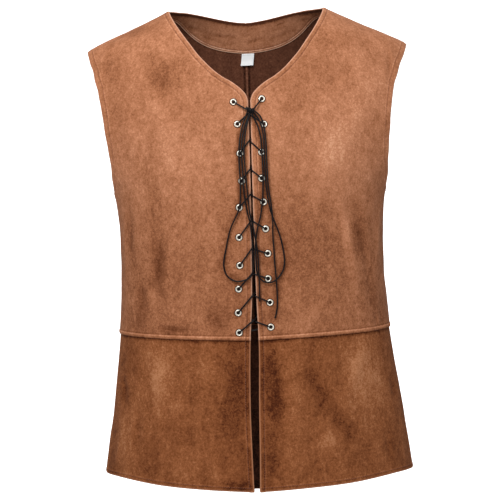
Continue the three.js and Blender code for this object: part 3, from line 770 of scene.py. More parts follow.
SUEDE = suede("suede_bodice", [
    (0.0, 96, 53, 30), (0.20, 124, 74, 47), (0.40, 157, 101, 69),
    (0.60, 184, 124, 91), (0.82, 212, 156, 122),
], (212, 160, 132))
SUEDE_SKIRT = suede("suede_skirt", [
    (0.0, 52, 22, 9), (0.18, 76, 35, 15), (0.42, 121, 69, 38),
    (0.60, 145, 88, 53), (0.82, 178, 121, 84),
], (180, 124, 90), 1.1, 1.05)
REVERSE = suede("suede_reverse", [
    (0.10, 27, 12, 6), (0.35, 73, 41, 28), (0.70, 107, 66, 48), (1.0, 170, 118, 92),
], (120, 78, 58), 0.8)
FACING = suede("suede_facing", [
    (0.0, 76, 40, 24), (0.30, 146, 92, 62), (0.70, 194, 134, 100), (1.0, 238, 190, 160),
], (232, 186, 158), 0.9)
# A dark cloth colour, painted shadow for the ring round each eyelet's flange.
SHADOW_RING_PAINT = suede("painted_eyelet_shadow", [
    (0.20, 30, 14, 8), (0.50, 58, 30, 18), (0.80, 92, 54, 36),
], (58, 30, 18), 0.6)
METAL = speckled(
    "satin_metal", 900, 3, [(0.3, 214, 204, 184), (0.6, 243, 238, 226)], 0.08, 0.0003,
    Metallic=0.55, Roughness=0.34,
)
THREAD = speckled(
    "thread", 1800, 2, [(0.3, 98, 52, 33), (0.7, 150, 92, 64)], 0.3, 0.0002, Roughness=0.7,
)
CORD = braid()
LABEL_TAPE = woven_tape()

# ------------------------------------------------------------------ making pieces


def add_object(name, points, faces, *materials):
    """A smooth object from points in millimetres."""
    mesh = bpy.data.meshes.new(name)
    mesh.from_pydata((np.asarray(points) * MM).tolist(), [], faces)
    for material in materials:
        mesh.materials.append(material)
    mesh.polygons.foreach_set("use_smooth", [True] * len(mesh.polygons))
    made = bpy.data.objects.new(name, mesh)
    bpy.context.scene.collection.objects.link(made)
    return made


def declare(piece, slot, *nodes):
    """Put a piece on the garment's one body, in place of the CAD nodes it stands for."""
    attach(piece, "root")
    if nodes:
        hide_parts(*nodes)
    return piece


def tube_rings(path):
    """Points of rings round a cord's path, with their twist kept even along it."""
    tangents = unit(np.gradient(path, axis=0))
    across = np.cross(tangents[0], (0, 1, 0.3))
    turns = TURN * np.arange(CORD_SIDES)[:, None] / CORD_SIDES
    rings = []
    for point, tangent in zip(path, tangents):
        across = unit(across - tangent * (across @ tangent))
        circle = np.cos(turns) * across + np.sin(turns) * np.cross(tangent, across)
        rings.append(point + CORD_RADIUS * circle)
    return np.vstack(rings)


def add_cord(name, path):
    """A round cord along a path, closed by a rounded cap at each end."""
    sides, last = CORD_SIDES, len(path) - 1
    run = lengths_along(path)
    cap = 0.75 * CORD_RADIUS
    tips = [path[0] + cap * unit(path[0] - path[1]), path[-1] + cap * unit(path[-1] - path[-2])]
    first_tip = len(path) * sides
    faces, uvs = [], []
    for i in range(last):
        for k in range(sides):
            n = (k + 1) % sides
            faces.append((i * sides + k, i * sides + n, (i + 1) * sides + n, (i + 1) * sides + k))
            low, high = k / sides, (k + 1) / sides
            uvs += [low, run[i], high, run[i], high, run[i + 1], low, run[i + 1]]
    for k in range(sides):
        n = (k + 1) % sides
        faces += [(first_tip, n, k), (first_tip + 1, last * sides + k, last * sides + n)]
        low, high = k / sides, (k + 1) / sides
        uvs += [low, 0, high, 0, low, 0, low, run[-1], low, run[-1], high, run[-1]]
    made = add_object(name, np.vstack([tube_rings(path), tips]), faces, CORD)
    made.data.uv_layers.new(name="braid").data.foreach_set("uv", uvs)
    return made


# ------------------------------------------------------------------ camera and stage

LAMPS = [  # name, place, power and size
    ("key", (-0.5, -1.5, 0.75), 23, 0.55),
    ("fill", (0.8, -2.3, -0.1), 10, 1.6),
    ("top", (0, -0.5, 1.6), 10, 1.0),
]
CHEST = Vector((0, 0, -0.33))


def set_camera():
    """A long lens a little to the left of straight on, rolled as the garment hangs."""
    distance, turn, roll = 1.9, math.radians(-0.55), 0.0262
    aim = Vector((-3.3, 0, -360)) * MM
    away = Vector((math.sin(turn), -math.cos(turn), 0))
    right = Vector((math.cos(turn), math.sin(turn), 0))
    up = Vector((0, 0, 1))
    rolled_up = up * math.cos(roll) + right * math.sin(roll)
    rolled_right = right * math.cos(roll) - up * math.sin(roll)
    camera = bpy.data.objects.new("camera", bpy.data.cameras.new("camera"))
    camera.data.lens = 91.2
    camera.data.sensor_width = 36
    turned = Matrix((rolled_right, rolled_up, away)).transposed().to_4x4()
    camera.matrix_world = Matrix.Translation(aim + away * distance) @ turned
    bpy.context.scene.collection.objects.link(camera)
    bpy.context.scene.camera = camera


def set_stage():
    """A pale floor that curves up behind the vest, well clear of its hem."""
    floor, front, flat_end, bend, top, half = -1300, -4200, 2600, 900, 3600, 4500
    profile = [(front, floor)]
    for angle in np.linspace(0, QUARTER, 17):
        profile.append((flat_end + bend * math.sin(angle), floor + bend * (1 - math.cos(angle))))
    profile.append((flat_end + bend, top))
    points = [(x, y, z) for y, z in profile for x in (-half, half)]
    faces = [(2 * i, 2 * i + 1, 2 * i + 3, 2 * i + 2) for i in range(len(profile) - 1)]
    add_object("studio_floor", points, faces, studio_white())


def set_lights():
    """Square soft lights that face the chest, in an even white room."""
    world = bpy.data.worlds.new("studio")
    world.use_nodes = True
    background = world.node_tree.nodes["Background"]
    background.inputs["Color"].default_value = (1, 1, 1, 1)
    background.inputs["Strength"].default_value = 0.3
    bpy.context.scene.world = world
    for name, place, power, size in LAMPS:
        lamp = bpy.data.lights.new(name, "AREA")
        lamp.energy = power
        lamp.size = size
        made = bpy.data.objects.new(name, lamp)
        made.location = place
        made.rotation_euler = (CHEST - Vector(place)).to_track_quat("-Z", "Y").to_euler()
        bpy.context.scene.collection.objects.link(made)
    bpy.context.scene.view_settings.view_transform = "Standard"
    bpy.context.scene.view_settings.look = "None"


set_camera()
set_stage()
set_lights()

# ------------------------------------------------------------------ the cords


def bow_piece(name, route):
    """One stretch of the bow: a cord, tied as it is shown. Returns its path."""
    points, _ = on_front(*np.array(route, float).T)
    path = resample(route_curve(points), BOW_STEP)
    cord = declare(add_cord(name, path), "lace", f"bow_{name}")
    return path


BOW_PATHS = [
    bow_piece("loop_left", LEFT_LOOP),
    bow_piece("loop_right", RIGHT_LOOP),
    bow_piece("end_left", LEFT_END),
    bow_piece("end_right", RIGHT_END),
]


def lace_stations():
    """Places of the lace from the knot down one strand and up the other."""
    def strand(first_side, over):
        places = []
        for row in range(EYELET_COUNT):
            way = 1 if row % 2 == 0 else -1
            side, word = way * first_side, SIDE_WORDS[way * first_side]
            if row > 0:
                places.append((0, EYELETS["cross"][row] + way * over, EDGE_BEND))
            x, z = EYELETS[word + "_x"][row], EYELETS[word + "_z"][row]
            places.append((side * x, z, HOLE_BEND))
        return places

    return strand(LEFT, CROSSING_GAP) + strand(RIGHT, -CROSSING_GAP)[::-1]


def laced_points():
    """Through each eyelet and crossing, changing from one face of the cloth to the other."""
    stations = [KNOT_LEFT, *lace_stations(), KNOT_RIGHT]
    places = [KNOT_LEFT]
    face = 1
    for before, (x, z, bend), after in zip(stations, stations[1:], stations[2:]):
        def towards(other, name, facing):
            way = bend[name] * unit(np.array([other[0] - x, other[1] - z], float))
            places.append((x + way[0], z + way[1], facing * bend[name + "_lift"]))

        towards(before, "far", face)
        towards(before, "near", face)
        places.append((x, z, 0))
        towards(after, "near", -face)
        towards(after, "far", -face)
        face = -face
    places.append(KNOT_RIGHT)
    return on_front(*np.array(places, float).T)[0]


def add_knot():
    """Wraps of cord round the strands, with one tuck across their front."""
    centre, normal = on_front(KNOT["x"], KNOT["z"], KNOT["lift"])
    out = unit(normal)
    up = unit(np.array([0, 0, 1.0]) - out * out[2])
    right = np.cross(out, up)
    turns = np.linspace(0, KNOT["wraps"] * TURN, KNOT["steps"])[:, None]
    shift = np.linspace(-KNOT["half"], KNOT["half"], KNOT["steps"])[:, None]
    wrap = (
        centre + shift * (right + KNOT["tilt"] * up)
        + KNOT["depth"] * np.cos(turns) * out + KNOT["height"] * np.sin(turns) * up
    )
    share = np.linspace(-1, 1, TUCK["steps"])[:, None]
    forward = TUCK["out"] - TUCK["sink"] * share ** 2
    tuck = centre + share * (TUCK["half"] * right - TUCK["drop"] * up) + forward * out
    declare(add_cord("knot_wrap", wrap), "lace", "bow_knot")
    declare(add_cord("knot_tuck", tuck), "lace")


laced_cord = add_cord("laced_cord", resample(route_curve(laced_points()), LACE_STEP))
declare(laced_cord, "lace", "lace_laced")
add_knot()

# ------------------------------------------------------------------ patches of cloth


def shares(length, fine_start=True, fine_end=True):
    """Places across a length, close together along its fine edges."""
    fine = np.arange(0, EDGE_REACH, EDGE_CELL)
    start = fine if fine_start else fine[:1]
    end = (length - (fine if fine_end else fine[:1]))[::-1]
    low, high = EDGE_REACH if fine_start else 0, length - (EDGE_REACH if fine_end else 0)
    middle = np.linspace(low, high, max(int(round((high - low) / CELL)), 1) + 1)
    middle = middle[0 if fine_start else 1:None if fine_end else -1]
    return np.concatenate([start, middle, end]) / length


class Patch:
    """A patch of the skin as a grid of places: rows from the top, columns across."""

    def __init__(self, side, facing, angle, z):
        self.places = np.broadcast_arrays(side, facing, angle, z)
        self.facing, self.angle, self.z = self.places[1:]
        self.base, _ = self.lifted(0)

    def lifted(self, lift):
        return skin(*self.places, lift)

    def joined(self, other):
        """This patch with another on its right, which starts on this one's last column."""
        return Patch(*(np.hstack([a, b[:, 1:]]) for a, b in zip(self.places, other.places)))

    def mirrored(self):
        return Patch(*(values[:, ::-1] for values in self.places))

    def raised(self, height):
        side, facing, angle, z = self.places
        return Patch(side, facing, angle, z + height)


def spanned(side, facing, start, end, across, arch=0, swell=0, bend=0):
    """Rows from one angle and height to another, at shares of the way across."""
    start_angle, start_z, end_angle, end_z, arch, swell = (
        np.reshape(values, (-1, 1)) for values in (*start, *end, arch, swell)
    )
    arched = np.sin(QUARTER * np.minimum(across / ARCH_REACH, 1)) ** 2
    level = (np.hypot(across, bend) - bend) / (math.hypot(1, bend) - bend)
    swollen = np.maximum(np.sin(math.pi * across), 0) ** SWELL_POWER
    z = start_z + (end_z - start_z) * (level + (arched - level) * arch) + swell * swollen
    return Patch(side, facing, start_angle + (end_angle - start_angle) * across, z)


def row_numbers(first_line, last_line):
    """Row numbers that cut each step into cells, finer along the bottom edge."""
    numbers = []
    last = len(first_line) - 2
    for k in range(last + 1):
        step = max(np.linalg.norm(line[k + 1] - line[k]) for line in (first_line, last_line))
        count = max(int(round(step / CELL)), 1)
        numbers.append(k + (shares(step, False, True) if k == last else np.arange(count) / count))
    return np.concatenate(numbers)


def edge_angle(side, z):
    """Ring angle of the armhole's edge, or of the side seam above and below it."""
    cut = (z < SHOULDER_TIP) & (z > UNDERARM)
    return np.where(cut, angle_at(side, read(ARMHOLE, SIDE_WORDS[side], z), z), QUARTER)


def opening_x(side, z):
    """Distance of a front edge from the middle, held open where the cord passes."""
    passes = sum(bell(z, cross, PASS_REACH) for cross in EYELETS["cross"][1:])
    slack = read(OPENING, "slack", z)
    return read(OPENING, SIDE_WORDS[side], z) * (slack + (1 - slack) * np.minimum(passes, 1))


def front_bodice(side):
    """A front, and the number of each of its rows."""
    ends, heights = (np.concatenate([NECK_ROWS[k], FRONT_ROWS[k]]) for k in ("end", "z"))
    inner = np.concatenate([NECK_ROWS["x"], read(OPENING, SIDE_WORDS[side], FRONT_ROWS["z"])])
    end_angles = edge_angle(side, ends)
    first_line, _ = skin(side, FRONT, angle_at(side, inner, heights), heights, 0)
    last_line, _ = skin(side, FRONT, end_angles, ends, 0)
    rows = row_numbers(first_line, last_line)
    rows[0] = FRONT_START
    z = through(heights, rows)
    on_opening = rows >= len(NECK_ROWS["z"])
    x = np.where(on_opening, opening_x(side, z) + CLOTH / 2, through(inner, rows))
    end = [through(values, rows, FRONT_SHOULDER_ROW) for values in (end_angles, ends)]
    return spanned(side, FRONT, (angle_at(side, x, z), z), end, shares(BODICE_WIDTH)), rows


def back_rows(side):
    """Numbers of the rows of a back bodice."""
    heights, ends = BACK_ROWS["z"], BACK_ROWS["end"]
    first_line, _ = skin(side, BACK, 0.0, heights, 0)
    last_line, _ = skin(side, BACK, edge_angle(side, ends), ends, 0)
    return row_numbers(first_line, last_line)


def back_half(side, rows, across):
    """Half of the upper back from its centre seam, at row numbers and shares across."""
    start = (0, through(BACK_ROWS["z"], rows))
    edge = (edge_angle(side, BACK_ROWS["end"]), BACK_ROWS["end"])
    end = [through(values, rows, BACK_SHOULDER_ROW) for values in edge]
    arch, swell = through(BACK_ROWS["arch"], rows), through(BACK_ROWS["swell"], rows)
    return spanned(side, BACK, start, end, across, arch, swell)


def neck_band():
    """The top of both back halves, with finer rows along its lower edge."""
    rows = back_rows(LEFT)
    lowest = BAND_LAST_ROW - np.array([0.3, 0.2, 0.1, 0.0])
    rows = np.unique(np.round(np.concatenate([rows[rows <= BAND_LAST_ROW], lowest]), 4))
    across = shares(BODICE_WIDTH / 2, False, False)
    return back_half(LEFT, rows, across).mirrored().joined(back_half(RIGHT, rows, across))


SKIRT_FALL = shares(SKIRT_DROP, False, True)  # share of its drop at each of its rows


def skirt_heights(place):
    top = WAIST[place] + LAP
    return top + (HEM[place] - top) * SKIRT_FALL


def front_quarter(side, low, high, across):
    """Part of the front quarter of the skirt, between two shares of its width."""
    start, end = skirt_heights("centre"), skirt_heights("side")
    start_angle = angle_at(side, opening_x(side, start) + CLOTH / 2, start)
    between = low + (high - low) * across
    patch = spanned(side, FRONT, (start_angle, start), (QUARTER, end), between)
    hang = HEM_LIFT * bell(between, *HEM_LIFT_SPAN) - side * HEM_TILT * between
    return patch.raised(SKIRT_FALL[:, None] * hang)


def back_quarter(side):
    """From the centre back of the skirt to where its front quarter starts."""
    end = skirt_heights("side") - side * HEM_TILT * SKIRT_FALL
    across = shares(BODICE_WIDTH, False, False)
    patch = spanned(side, BACK, (0, skirt_heights("back")), (QUARTER, end), across, bend=HEM_BEND)
    hang = HEM_LIFT * bell(1.0, *HEM_LIFT_SPAN) * patch.angle / QUARTER
    return patch.raised(SKIRT_FALL[:, None] * hang)


def back_skirt():
    """From one side seam round the back to the other."""
    halves = []
    for side in (LEFT, RIGHT):
        strip = front_quarter(side, SKIRT_SEAM_SHARE, 1, shares(SIDE_STRIP_WIDTH, True, False))
        halves.append(strip.joined(back_quarter(side).mirrored()))
    return halves[0].joined(halves[1].mirrored())


def below_waist(patch):
    """How far the places of a skirt lie below the lower edge of the bodice."""
    middle = np.where(patch.facing == FRONT, WAIST["centre"], WAIST["back"])
    return middle + (WAIST["side"] - middle) * patch.angle / QUARTER - patch.z


# ------------------------------------------------------------------ creases and tone


def crease_lift(points):
    """Height of the creases and of the cloth's slight unevenness at points of the skin."""
    lift = np.zeros(len(points))
    for places, width, depth in CREASES:
        line = resample(on_body(*np.array(places, float).T)[0], 4)
        reach = 2.6 * width
        near = ((points > line.min(0) - reach) & (points < line.max(0) + reach)).all(1)
        if not near.any():
            continue
        squared = ((points[near][:, None] - line[None]) ** 2).sum(2)
        along = squared.argmin(1) / (len(line) - 1)
        strength = 0.45 + 0.55 * np.sin(math.pi * along)
        lift[near] += depth * strength * np.exp(-squared.min(1) / width ** 2)
    soft = np.array([
        1.5 * noise.noise(Vector((x / 55, y / 55, z / 105)))
        + 0.45 * noise.noise(Vector((x / 17 + 40, y / 17, z / 30)))
        for x, y, z in points
    ])
    return lift + soft


def lacing_calm(points):
    """0 on the flat stretch that carries the eyelets, and 1 away from it."""
    away = ramp(np.abs(points[:, 0]), *LACING_REACH)
    laced = (points[:, 1] < 0) & (points[:, 2] < LACING_TOP) & (points[:, 2] > WAIST["centre"])
    return np.where(laced, away, 1)


def patch_tone(points):
    tone = np.zeros(len(points))
    for azimuth, z, wide, tall, strength in PATCHES:
        middle, _ = on_body(azimuth, z)
        level = np.hypot(points[:, 0] - middle[0], points[:, 1] - middle[1])
        tone += strength * np.exp(-((level / wide) ** 2) - ((points[:, 2] - z) / tall) ** 2)
    return tone


def distance_to(points, line):
    """Distance of each point to a polyline."""
    dense = resample(line, 0.7)
    tree = KDTree(len(dense))
    for i, place in enumerate(dense):
        tree.insert(place, i)
    tree.balance()
    return np.array([tree.find(point)[2] for point in points])


def cord_shadow_share(points):
    """Share of painted shadow on the cloth: 1 under the bow's cords, falling to 0 a few millimetres
    away.
    """
    near = (points[:, 1] < 0) & (np.abs(points[:, 0]) < 64) & (points[:, 2] > -470)
    reached = np.zeros(len(points))
    for path in BOW_PATHS:
        under = 1 - ramp(distance_to(points[near], path), 3.5, 10)
        reached[near] = np.maximum(reached[near], under)
    return reached * (0.3 + 0.7 * ramp(points[:, 2], -330, -285))


# ------------------------------------------------------------------ shells

RIM_TURNS = (math.pi / 4, math.pi / 2, 3 * math.pi / 4)


def border(rows, columns):
    """Grid places round the edge of a patch, in order."""
    top = [(0, c) for c in range(columns)]
    right = [(r, columns - 1) for r in range(1, rows)]
    bottom = [(rows - 1, c) for c in range(columns - 2, -1, -1)]
    left = [(r, 0) for r in range(rows - 2, 0, -1)]
    return np.array(top + right + bottom + left)


def grid_faces(index):
    corners = (index[:-1, :-1], index[1:, :-1], index[1:, 1:], index[:-1, 1:])
    return np.stack([corner.ravel() for corner in corners], axis=1)


def add_shell(name, sheets, materials, tones, rim, bulge=1.0):
    """A closed wall between an outer and an inner sheet, with a rounded rim."""
    outer, inner = sheets
    shape = outer.shape[:2]
    index = np.arange(shape[0] * shape[1]).reshape(shape)
    r, c = border(*shape).T
    middle = (outer + inner) / 2
    half = (outer[r, c] - inner[r, c]) / 2
    inward = middle[np.clip(r, 1, shape[0] - 2), np.clip(c, 1, shape[1] - 2)]
    way = unit(middle[r, c] - inward) * np.linalg.norm(half, axis=1, keepdims=True)
    way *= np.broadcast_to(bulge, shape)[r, c][:, None]
    loops = [middle[r, c] + half * math.cos(turn) + way * math.sin(turn) for turn in RIM_TURNS]
    points = np.vstack([outer.reshape(-1, 3), inner.reshape(-1, 3), *loops])
    around = 2 * index.size + np.arange(len(loops) * len(r)).reshape(len(loops), -1)
    ladder = [index[r, c], *around, index.size + index[r, c]]
    rims = [
        np.stack([low, np.roll(low, -1), np.roll(high, -1), high], axis=1)
        for low, high in zip(ladder, ladder[1:])
    ]
    outside = grid_faces(index)
    faces = np.vstack([outside, (index.size + outside)[:, ::-1], *rims])
    made = add_object(name, points, faces.tolist(), *materials)
    kinds = np.zeros(len(faces), int)
    kinds[len(outside):2 * len(outside)] = 1
    made.data.polygons.foreach_set("material_index", kinds)
    for label, (without, within) in {"tone": tones, "rim": (rim, rim * 0.5)}.items():
        values = [without.ravel(), within.ravel(), *[without[r, c]] * len(loops)]
        attribute = made.data.attributes.new(label, "FLOAT", "POINT")
        attribute.data.foreach_set("value", np.concatenate(values).astype(np.float32))
    solid = bmesh.new()
    solid.from_mesh(made.data)
    bmesh.ops.recalc_face_normals(solid, faces=solid.faces)
    solid.to_mesh(made.data)
    solid.free()
    return made


class Edges:
    """The edges of a patch: those turned in, the seams, and the stitched ones of both."""

    def __init__(self, patch):
        self.patch = patch
        self.points = patch.base.reshape(-1, 3)
        self.shape = patch.angle.shape
        self.turned, self.seams, self.stitched = [], [], []

    def distance(self, where, first=0, last=None):
        """Distance of each place to an edge of the grid, or to part of it."""
        base = self.patch.base
        lines = {"start": base[:, 0], "end": base[:, -1], "top": base[0], "bottom": base[-1]}
        line = lines[where][first:None if last is None else last + 1]
        return distance_to(self.points, line).reshape(self.shape)

    def turn_in(self, where, inset, first=0, last=None):
        distance = self.distance(where, first, last)
        self.turned.append((distance, inset))
        self.stitched.append((where, distance, inset, first, last))

    def sew(self, where, first=0, last=None, inset=None):
        distance = self.distance(where, first, last)
        self.seams.append(distance)
        if inset is not None:
            self.stitched.append((where, distance, inset, first, last))


def wall(base, normal, outer, inner):
    """The outer and the inner face of cloth, with the relief on each."""
    return (base + normal * (CLOTH / 2 + outer)[..., None],
            base + normal * (inner - CLOTH / 2)[..., None])


def cloth_shell(name, edges, skirt):
    """The shell of a piece, with its creases, turned edges, seams and waist fold."""
    patch, points, shape = edges.patch, edges.points, edges.shape
    crease = (crease_lift(points) * lacing_calm(points)).reshape(shape)
    outer, inner = crease.copy(), crease.copy()
    # The crease heights also tint the cloth: painted shade in their troughs and painted highlight
    # on their ridges.
    tone = patch_tone(points).reshape(shape) + 0.05 * np.clip(crease, -3, 3)
    # painted shadow of the bow's cords on the cloth
    tone -= CORD_SHADE * cord_shadow_share(points).reshape(shape)
    down = -points[:, 2].reshape(shape)
    # Painted shade inside the garment: its inner faces darker further down.
    inner_tone = 0.07 - 0.24 * ramp(down, 200, 420) - 0.12 * ramp(down, 560, 680)
    rim = np.zeros(shape)
    on_seam = np.zeros(shape, bool)
    for distance, inset in edges.turned:
        allowance = 1 - ramp(distance, inset - 0.4, inset + 1.8)
        outer += TURNED_RISE * allowance * (1 - bell(distance, 0, 0.9))
        outer += bells(distance - inset, STITCHED)
        inner -= TURNED_INNER_RISE * allowance
        tone += bells(distance - inset, STITCHED_TONE)
        # painted highlight along each turned edge
        rim = np.maximum(rim, RIM_HIGHLIGHT * (1 - ramp(distance, 0.3, 1.5)))
    for distance in edges.seams:
        outer += bells(distance, SEWN)
        inner -= 0.9 * bell(distance, 0, 1.3)
        tone += bells(distance, SEWN_TONE)
        inner_tone += bells(distance, SEWN_INNER_TONE)
        on_seam |= distance < 0.5
    if skirt:
        # Painted shadow of the bodice's lower edge on the top of the skirt.
        tone -= 0.42 * bell(below_waist(patch), 0, 2.8)
        out = np.abs(points[:, 0]).reshape(shape)
        # The front of the skirt darker towards its side seams, as painted shade, and darker beside
        # the slit.
        fade = SIDE_PAINTED_SHADE * ramp(out, 165, 228) + SLIT_FADE * (1 - ramp(out, 8, 46))
        tone -= fade * (patch.facing == FRONT)
    else:
        welt = edges.distance("bottom")
        outer += WELT_RISE * (1 - ramp(welt, WELT - 0.9, WELT + 0.5)) - 0.4 * bell(welt, 0, 0.8)
        inner += 0.4 * (1 - ramp(welt, 2, 5))
        # Painted highlight along the top of the waist fold and over it, with painted shade just
        # above it.
        tone += 0.06 * (1 - ramp(welt, WELT - 1, WELT + 0.4)) + bells(welt - WELT, WELT_TONE)
        # Painted shade along the waist fold's lower edge, and the bodice darker towards the waist
        # as painted shade.
        tone -= 0.25 * bell(welt, 0, 0.8) + LOW_PAINTED_SHADE * ramp(down, 180, 370)
    base, normal = patch.lifted(UNDER if skirt else 0)
    sheets = wall(base, normal, outer, inner)
    materials = [SUEDE_SKIRT if skirt else SUEDE, REVERSE]
    bulge = np.where(on_seam, 0.1, 1.0)
    made = add_shell(name, sheets, materials, (tone, inner_tone), rim, bulge)
    return made, sheets[0], normal


# ------------------------------------------------------------------ stitching


def inset_line(surface, normals, where, distance, inset, first=0, last=None):
    """Where each row of a grid first lies an inset away from the edge it starts on."""
    grids = [surface, normals, distance]
    if where in ("top", "bottom"):
        grids = [grid.swapaxes(0, 1) for grid in grids]
    if where in ("end", "bottom"):
        grids = [grid[:, ::-1] for grid in grids]
    line, ups = [], []
    for points, up, away in zip(*(grid[first:last] for grid in grids)):
        beyond = np.nonzero(away >= inset)[0]
        if len(beyond) == 0 or beyond[0] == 0:
            continue
        c = beyond[0]
        share = (inset - away[c - 1]) / (away[c] - away[c - 1])
        line.append(points[c - 1] + (points[c] - points[c - 1]) * share)
        ups.append(up[c])
    return np.array(line), np.array(ups)


def stitch_points(line, ups):
    """Points of a row of stitches along a line on the cloth."""
    run = lengths_along(line)
    starts = np.arange(STITCH["pitch"], run[-1] - STITCH["pitch"], STITCH["pitch"])

    def at(places, values):
        return np.stack([np.interp(places, run, column) for column in values.T], axis=1)

    heads, tails = at(starts, line), at(starts + STITCH["length"], line)
    way = unit(tails - heads)
    across = unit(np.cross(way, at(starts, ups)))
    up = np.cross(across, way)
    share, size, drop = (column[:, None] for column in np.array(STITCH_RINGS).T)
    sunk = STITCH["sink"] + drop * STITCH["radius"]
    centres = heads[:, None] + (tails - heads)[:, None] * share + up[:, None] * sunk
    turns = TURN * np.arange(STITCH["sides"])[:, None] / STITCH["sides"]
    circles = across[:, None] * np.cos(turns) + up[:, None] * np.sin(turns)
    points = centres[:, :, None] + circles[:, None] * (STITCH["radius"] * size)[..., None]
    return points.reshape(-1, 3)


def add_stitches(name, slot, lines):
    """Rows of stitches, each a short closed tube that tapers into the cloth."""
    points = np.vstack([stitch_points(*line) for line in lines])
    sides = STITCH["sides"]
    last = (len(STITCH_RINGS) - 1) * sides
    each = []
    for low in range(0, last, sides):
        for s in range(sides):
            n = (s + 1) % sides
            each.append((low + s, low + n, low + sides + n, low + sides + s))
    each += [tuple(reversed(range(sides))), tuple(range(last, last + sides))]
    starts = range(0, len(points), last + sides)
    faces = [tuple(start + corner for corner in face) for start in starts for face in each]
    return declare(add_object(name, points, faces, THREAD), slot)


# ------------------------------------------------------------------ the cloth pieces


def eyelet_places(side):
    """Points and normals of one side's eyelets."""
    word = SIDE_WORDS[side]
    return on_front(side * EYELETS[word + "_x"], EYELETS[word + "_z"], 0)


def cut_eyelet_holes(cloth, side):
    """Round holes through a front, where the eyelets go."""
    cutter = bmesh.new()
    for point, normal in zip(*eyelet_places(side)):
        turn = Vector((0, 0, 1)).rotation_difference(Vector(normal)).to_matrix().to_4x4()
        bmesh.ops.create_cone(
            cutter, cap_ends=True, segments=28, radius1=EYELET_CUT * MM,
            radius2=EYELET_CUT * MM, depth=0.012,
            matrix=Matrix.Translation(Vector(point) * MM) @ turn,
        )
    mesh = bpy.data.meshes.new("drill")
    cutter.to_mesh(mesh)
    cutter.free()
    drill = bpy.data.objects.new("drill", mesh)
    bpy.context.scene.collection.objects.link(drill)
    modifier = cloth.modifiers.new("holes", "BOOLEAN")
    modifier.object = drill
    modifier.operation = "DIFFERENCE"
    modifier.solver = "EXACT"
    bpy.context.view_layer.update()
    graph = bpy.context.evaluated_depsgraph_get()
    whole = cloth.data
    cut = bpy.data.meshes.new_from_object(cloth.evaluated_get(graph))
    cloth.modifiers.clear()
    cloth.data = cut
    bpy.data.objects.remove(drill)
    for unused in (whole, mesh):
        bpy.data.meshes.remove(unused)


def add_cloth(name, node, thread_name, edges, skirt=False, eyelet_side=None):
    """A piece of cloth with its stitches, in place of the CAD part it stands for."""
    cloth, surface, normals = cloth_shell(name, edges, skirt)
    if eyelet_side is not None:
        cut_eyelet_holes(cloth, eyelet_side)
    declare(cloth, "suede", node)
    lines = [inset_line(surface, normals, *edge) for edge in edges.stitched]
    stitches = add_stitches(thread_name, "suede", lines)


for word, side in SIDES.items():
    front, rows = front_bodice(side)
    edges = Edges(front)
    shoulder, underarm = np.searchsorted(rows, (FRONT_SHOULDER_ROW, FRONT_UNDERARM_ROW))
    edges.turn_in("start", NECK_INSET)
    edges.turn_in("end", ARMHOLE_INSET, shoulder, underarm)
    edges.sew("end", 0, shoulder, SHOULDER_INSET)
    edges.sew("end", underarm)
    add_cloth(
        f"bodice_front_{word}", f"front_bodice_{word}", f"stitching_front_{word}", edges,
        eyelet_side=side,
    )

    rows = back_rows(side)
    edges = Edges(back_half(side, rows, shares(BODICE_WIDTH)))
    shoulder, underarm = np.searchsorted(rows, (BACK_SHOULDER_ROW, BACK_UNDERARM_ROW))
    edges.turn_in("top", HEM_INSET)
    edges.turn_in("end", ARMHOLE_INSET, shoulder, underarm)
    edges.sew("start")
    edges.sew("end", 0, shoulder)
    edges.sew("end", underarm)
    add_cloth(
        f"bodice_back_{word}", f"back_bodice_{word}", f"stitching_back_{word}", edges,
    )

    edges = Edges(front_quarter(side, 0, SKIRT_SEAM_SHARE, shares(FRONT_SKIRT_WIDTH)))
    edges.turn_in("start", NECK_INSET)
    edges.turn_in("bottom", HEM_INSET)
    edges.sew("end")
    add_cloth(
        f"skirt_front_{word}", f"front_skirt_{word}", f"stitching_skirt_{word}", edges,
        skirt=True,
    )

edges = Edges(back_skirt())
edges.turn_in("bottom", HEM_INSET)
edges.sew("start")
edges.sew("end")
add_cloth(
    "skirt_back", "back_skirt", "stitching_skirt_back", edges, skirt=True,
)

# ------------------------------------------------------------------ band and label


def add_band():
    """The stitched band inside the back neck. Its inner face is the one that shows."""
    edges = Edges(neck_band())
    points, shape = edges.points, edges.shape
    low, top = edges.distance("bottom"), edges.distance("top")
    crease = crease_lift(points).reshape(shape)
    fold = np.zeros(shape)
    for places, width, depth in BAND_CREASES:
        x, z = np.array(places, float).T
        line, _ = skin(np.where(x < 0, LEFT, RIGHT), BACK, angle_at(LEFT, np.abs(x), z), z, 0)
        fold += depth * bell(distance_to(points, line), 0, width).reshape(shape)
    inner = crease - 0.2 - fold + bells(low, BAND_RELIEF) + 0.5 * bell(top, 0, 0.9)
    # Painted shade in the band's creases, in the grooves of its stitching, along its top edge and
    # towards its ends.
    tone = 0.30 * fold + bells(low, BAND_TONE) - 0.9 * bell(top, 0, 3.8)
    tone -= 0.3 * ramp(np.abs(points[:, 0]), 78, 116).reshape(shape)
    base, normal = edges.patch.lifted(UNDER)
    sheets = wall(base, normal, crease, inner)
    # painted highlight along the band's lower edge
    rim = 0.7 * (1 - ramp(low, 0.5, 1.4))
    band = add_shell("neck_band", sheets, [FACING, FACING], (tone, tone), rim)
    declare(band, "suede_reverse", "back_neck_facing")
    lines = [inset_line(sheets[1], -normal, "bottom", low, inset) for inset in BAND_INSETS]
    stitches = add_stitches("stitching_band", "suede_reverse", lines)


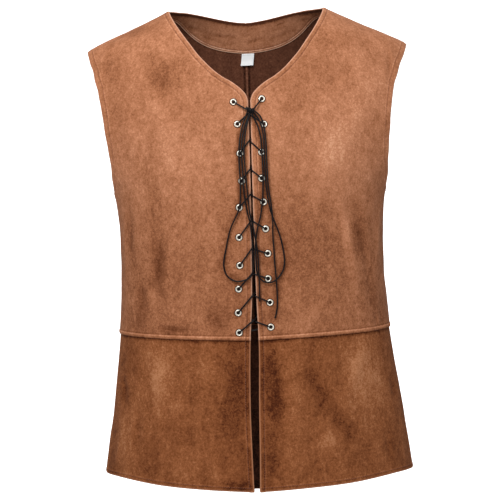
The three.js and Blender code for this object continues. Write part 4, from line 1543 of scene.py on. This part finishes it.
def add_label():
    """A bare woven tape, sewn on by its top edge and a little askew."""
    down, across = np.meshgrid(np.linspace(0, 1, 25), np.linspace(-1, 1, 27), indexing="ij")
    x = LABEL["x"] + across * LABEL["half"] + LABEL["lean"] * (down - 0.5)
    z = LABEL["top"] + (LABEL["bottom"] - LABEL["top"]) * down + 0.3 * across
    side = np.where(x < 0, LEFT, RIGHT)
    curl = -1.0 * ramp(down, 0.55, 1.0) - 0.35 * np.sin(across * 2.2 + 0.6) * down
    lift = UNDER - CLOTH / 2 - SEAM - LABEL["wall"] - LABEL["stand"] + curl
    base, normal = skin(side, BACK, angle_at(side, np.abs(x), z), z, lift)
    fold = 0.35 * bell(down, 0.04, 0.05) + 0.25 * bell(down, 0.97, 0.05)
    outer = base + normal * (LABEL["wall"] / 2)
    inner = base - normal * (LABEL["wall"] / 2 + fold)[..., None]
    blank = np.zeros(down.shape)
    tape = add_shell(
        "label_tape", (outer, inner), [LABEL_TAPE, LABEL_TAPE], (blank, blank), blank
    )
    declare(tape, "label", "label")


add_band()
add_label()

# ------------------------------------------------------------------ eyelets


def turned_ring(section, point, normal):
    """Points and faces of a half section turned round an eyelet's axis."""
    turn = np.array(Vector((0, 0, 1)).rotation_difference(Vector(normal)).to_matrix())
    radius, height = np.array(section).T
    angles = TURN * np.arange(EYELET_SIDES)[:, None] / EYELET_SIDES
    ring = np.stack(np.broadcast_arrays(
        radius * np.cos(angles), radius * np.sin(angles), height,
    ), axis=-1)
    count = len(section)
    faces = []
    for k in range(EYELET_SIDES):
        for s in range(count):
            n, t = (k + 1) % EYELET_SIDES, (s + 1) % count
            faces.append((k * count + s, n * count + s, n * count + t, k * count + t))
    return ring.reshape(-1, 3) @ turn.T + point, faces


for word, side in SIDES.items():
    for number, (point, normal) in enumerate(zip(*eyelet_places(side)), start=1):
        name = f"{word}_{number:02d}"
        ring = turned_ring(EYELET_SECTION, point, normal)
        # A dark ring on the cloth round each flange: painted shadow.
        shadow_ring = turned_ring(SHADOW_RING_SECTION, point, normal)
        declare(add_object(f"rolled_eyelet_{name}", *ring, METAL), "eyelet_metal", f"eyelet_{name}")
        declare(add_object(f"eyelet_shadow_ring_{name}", *shadow_ring, SHADOW_RING_PAINT), "suede")
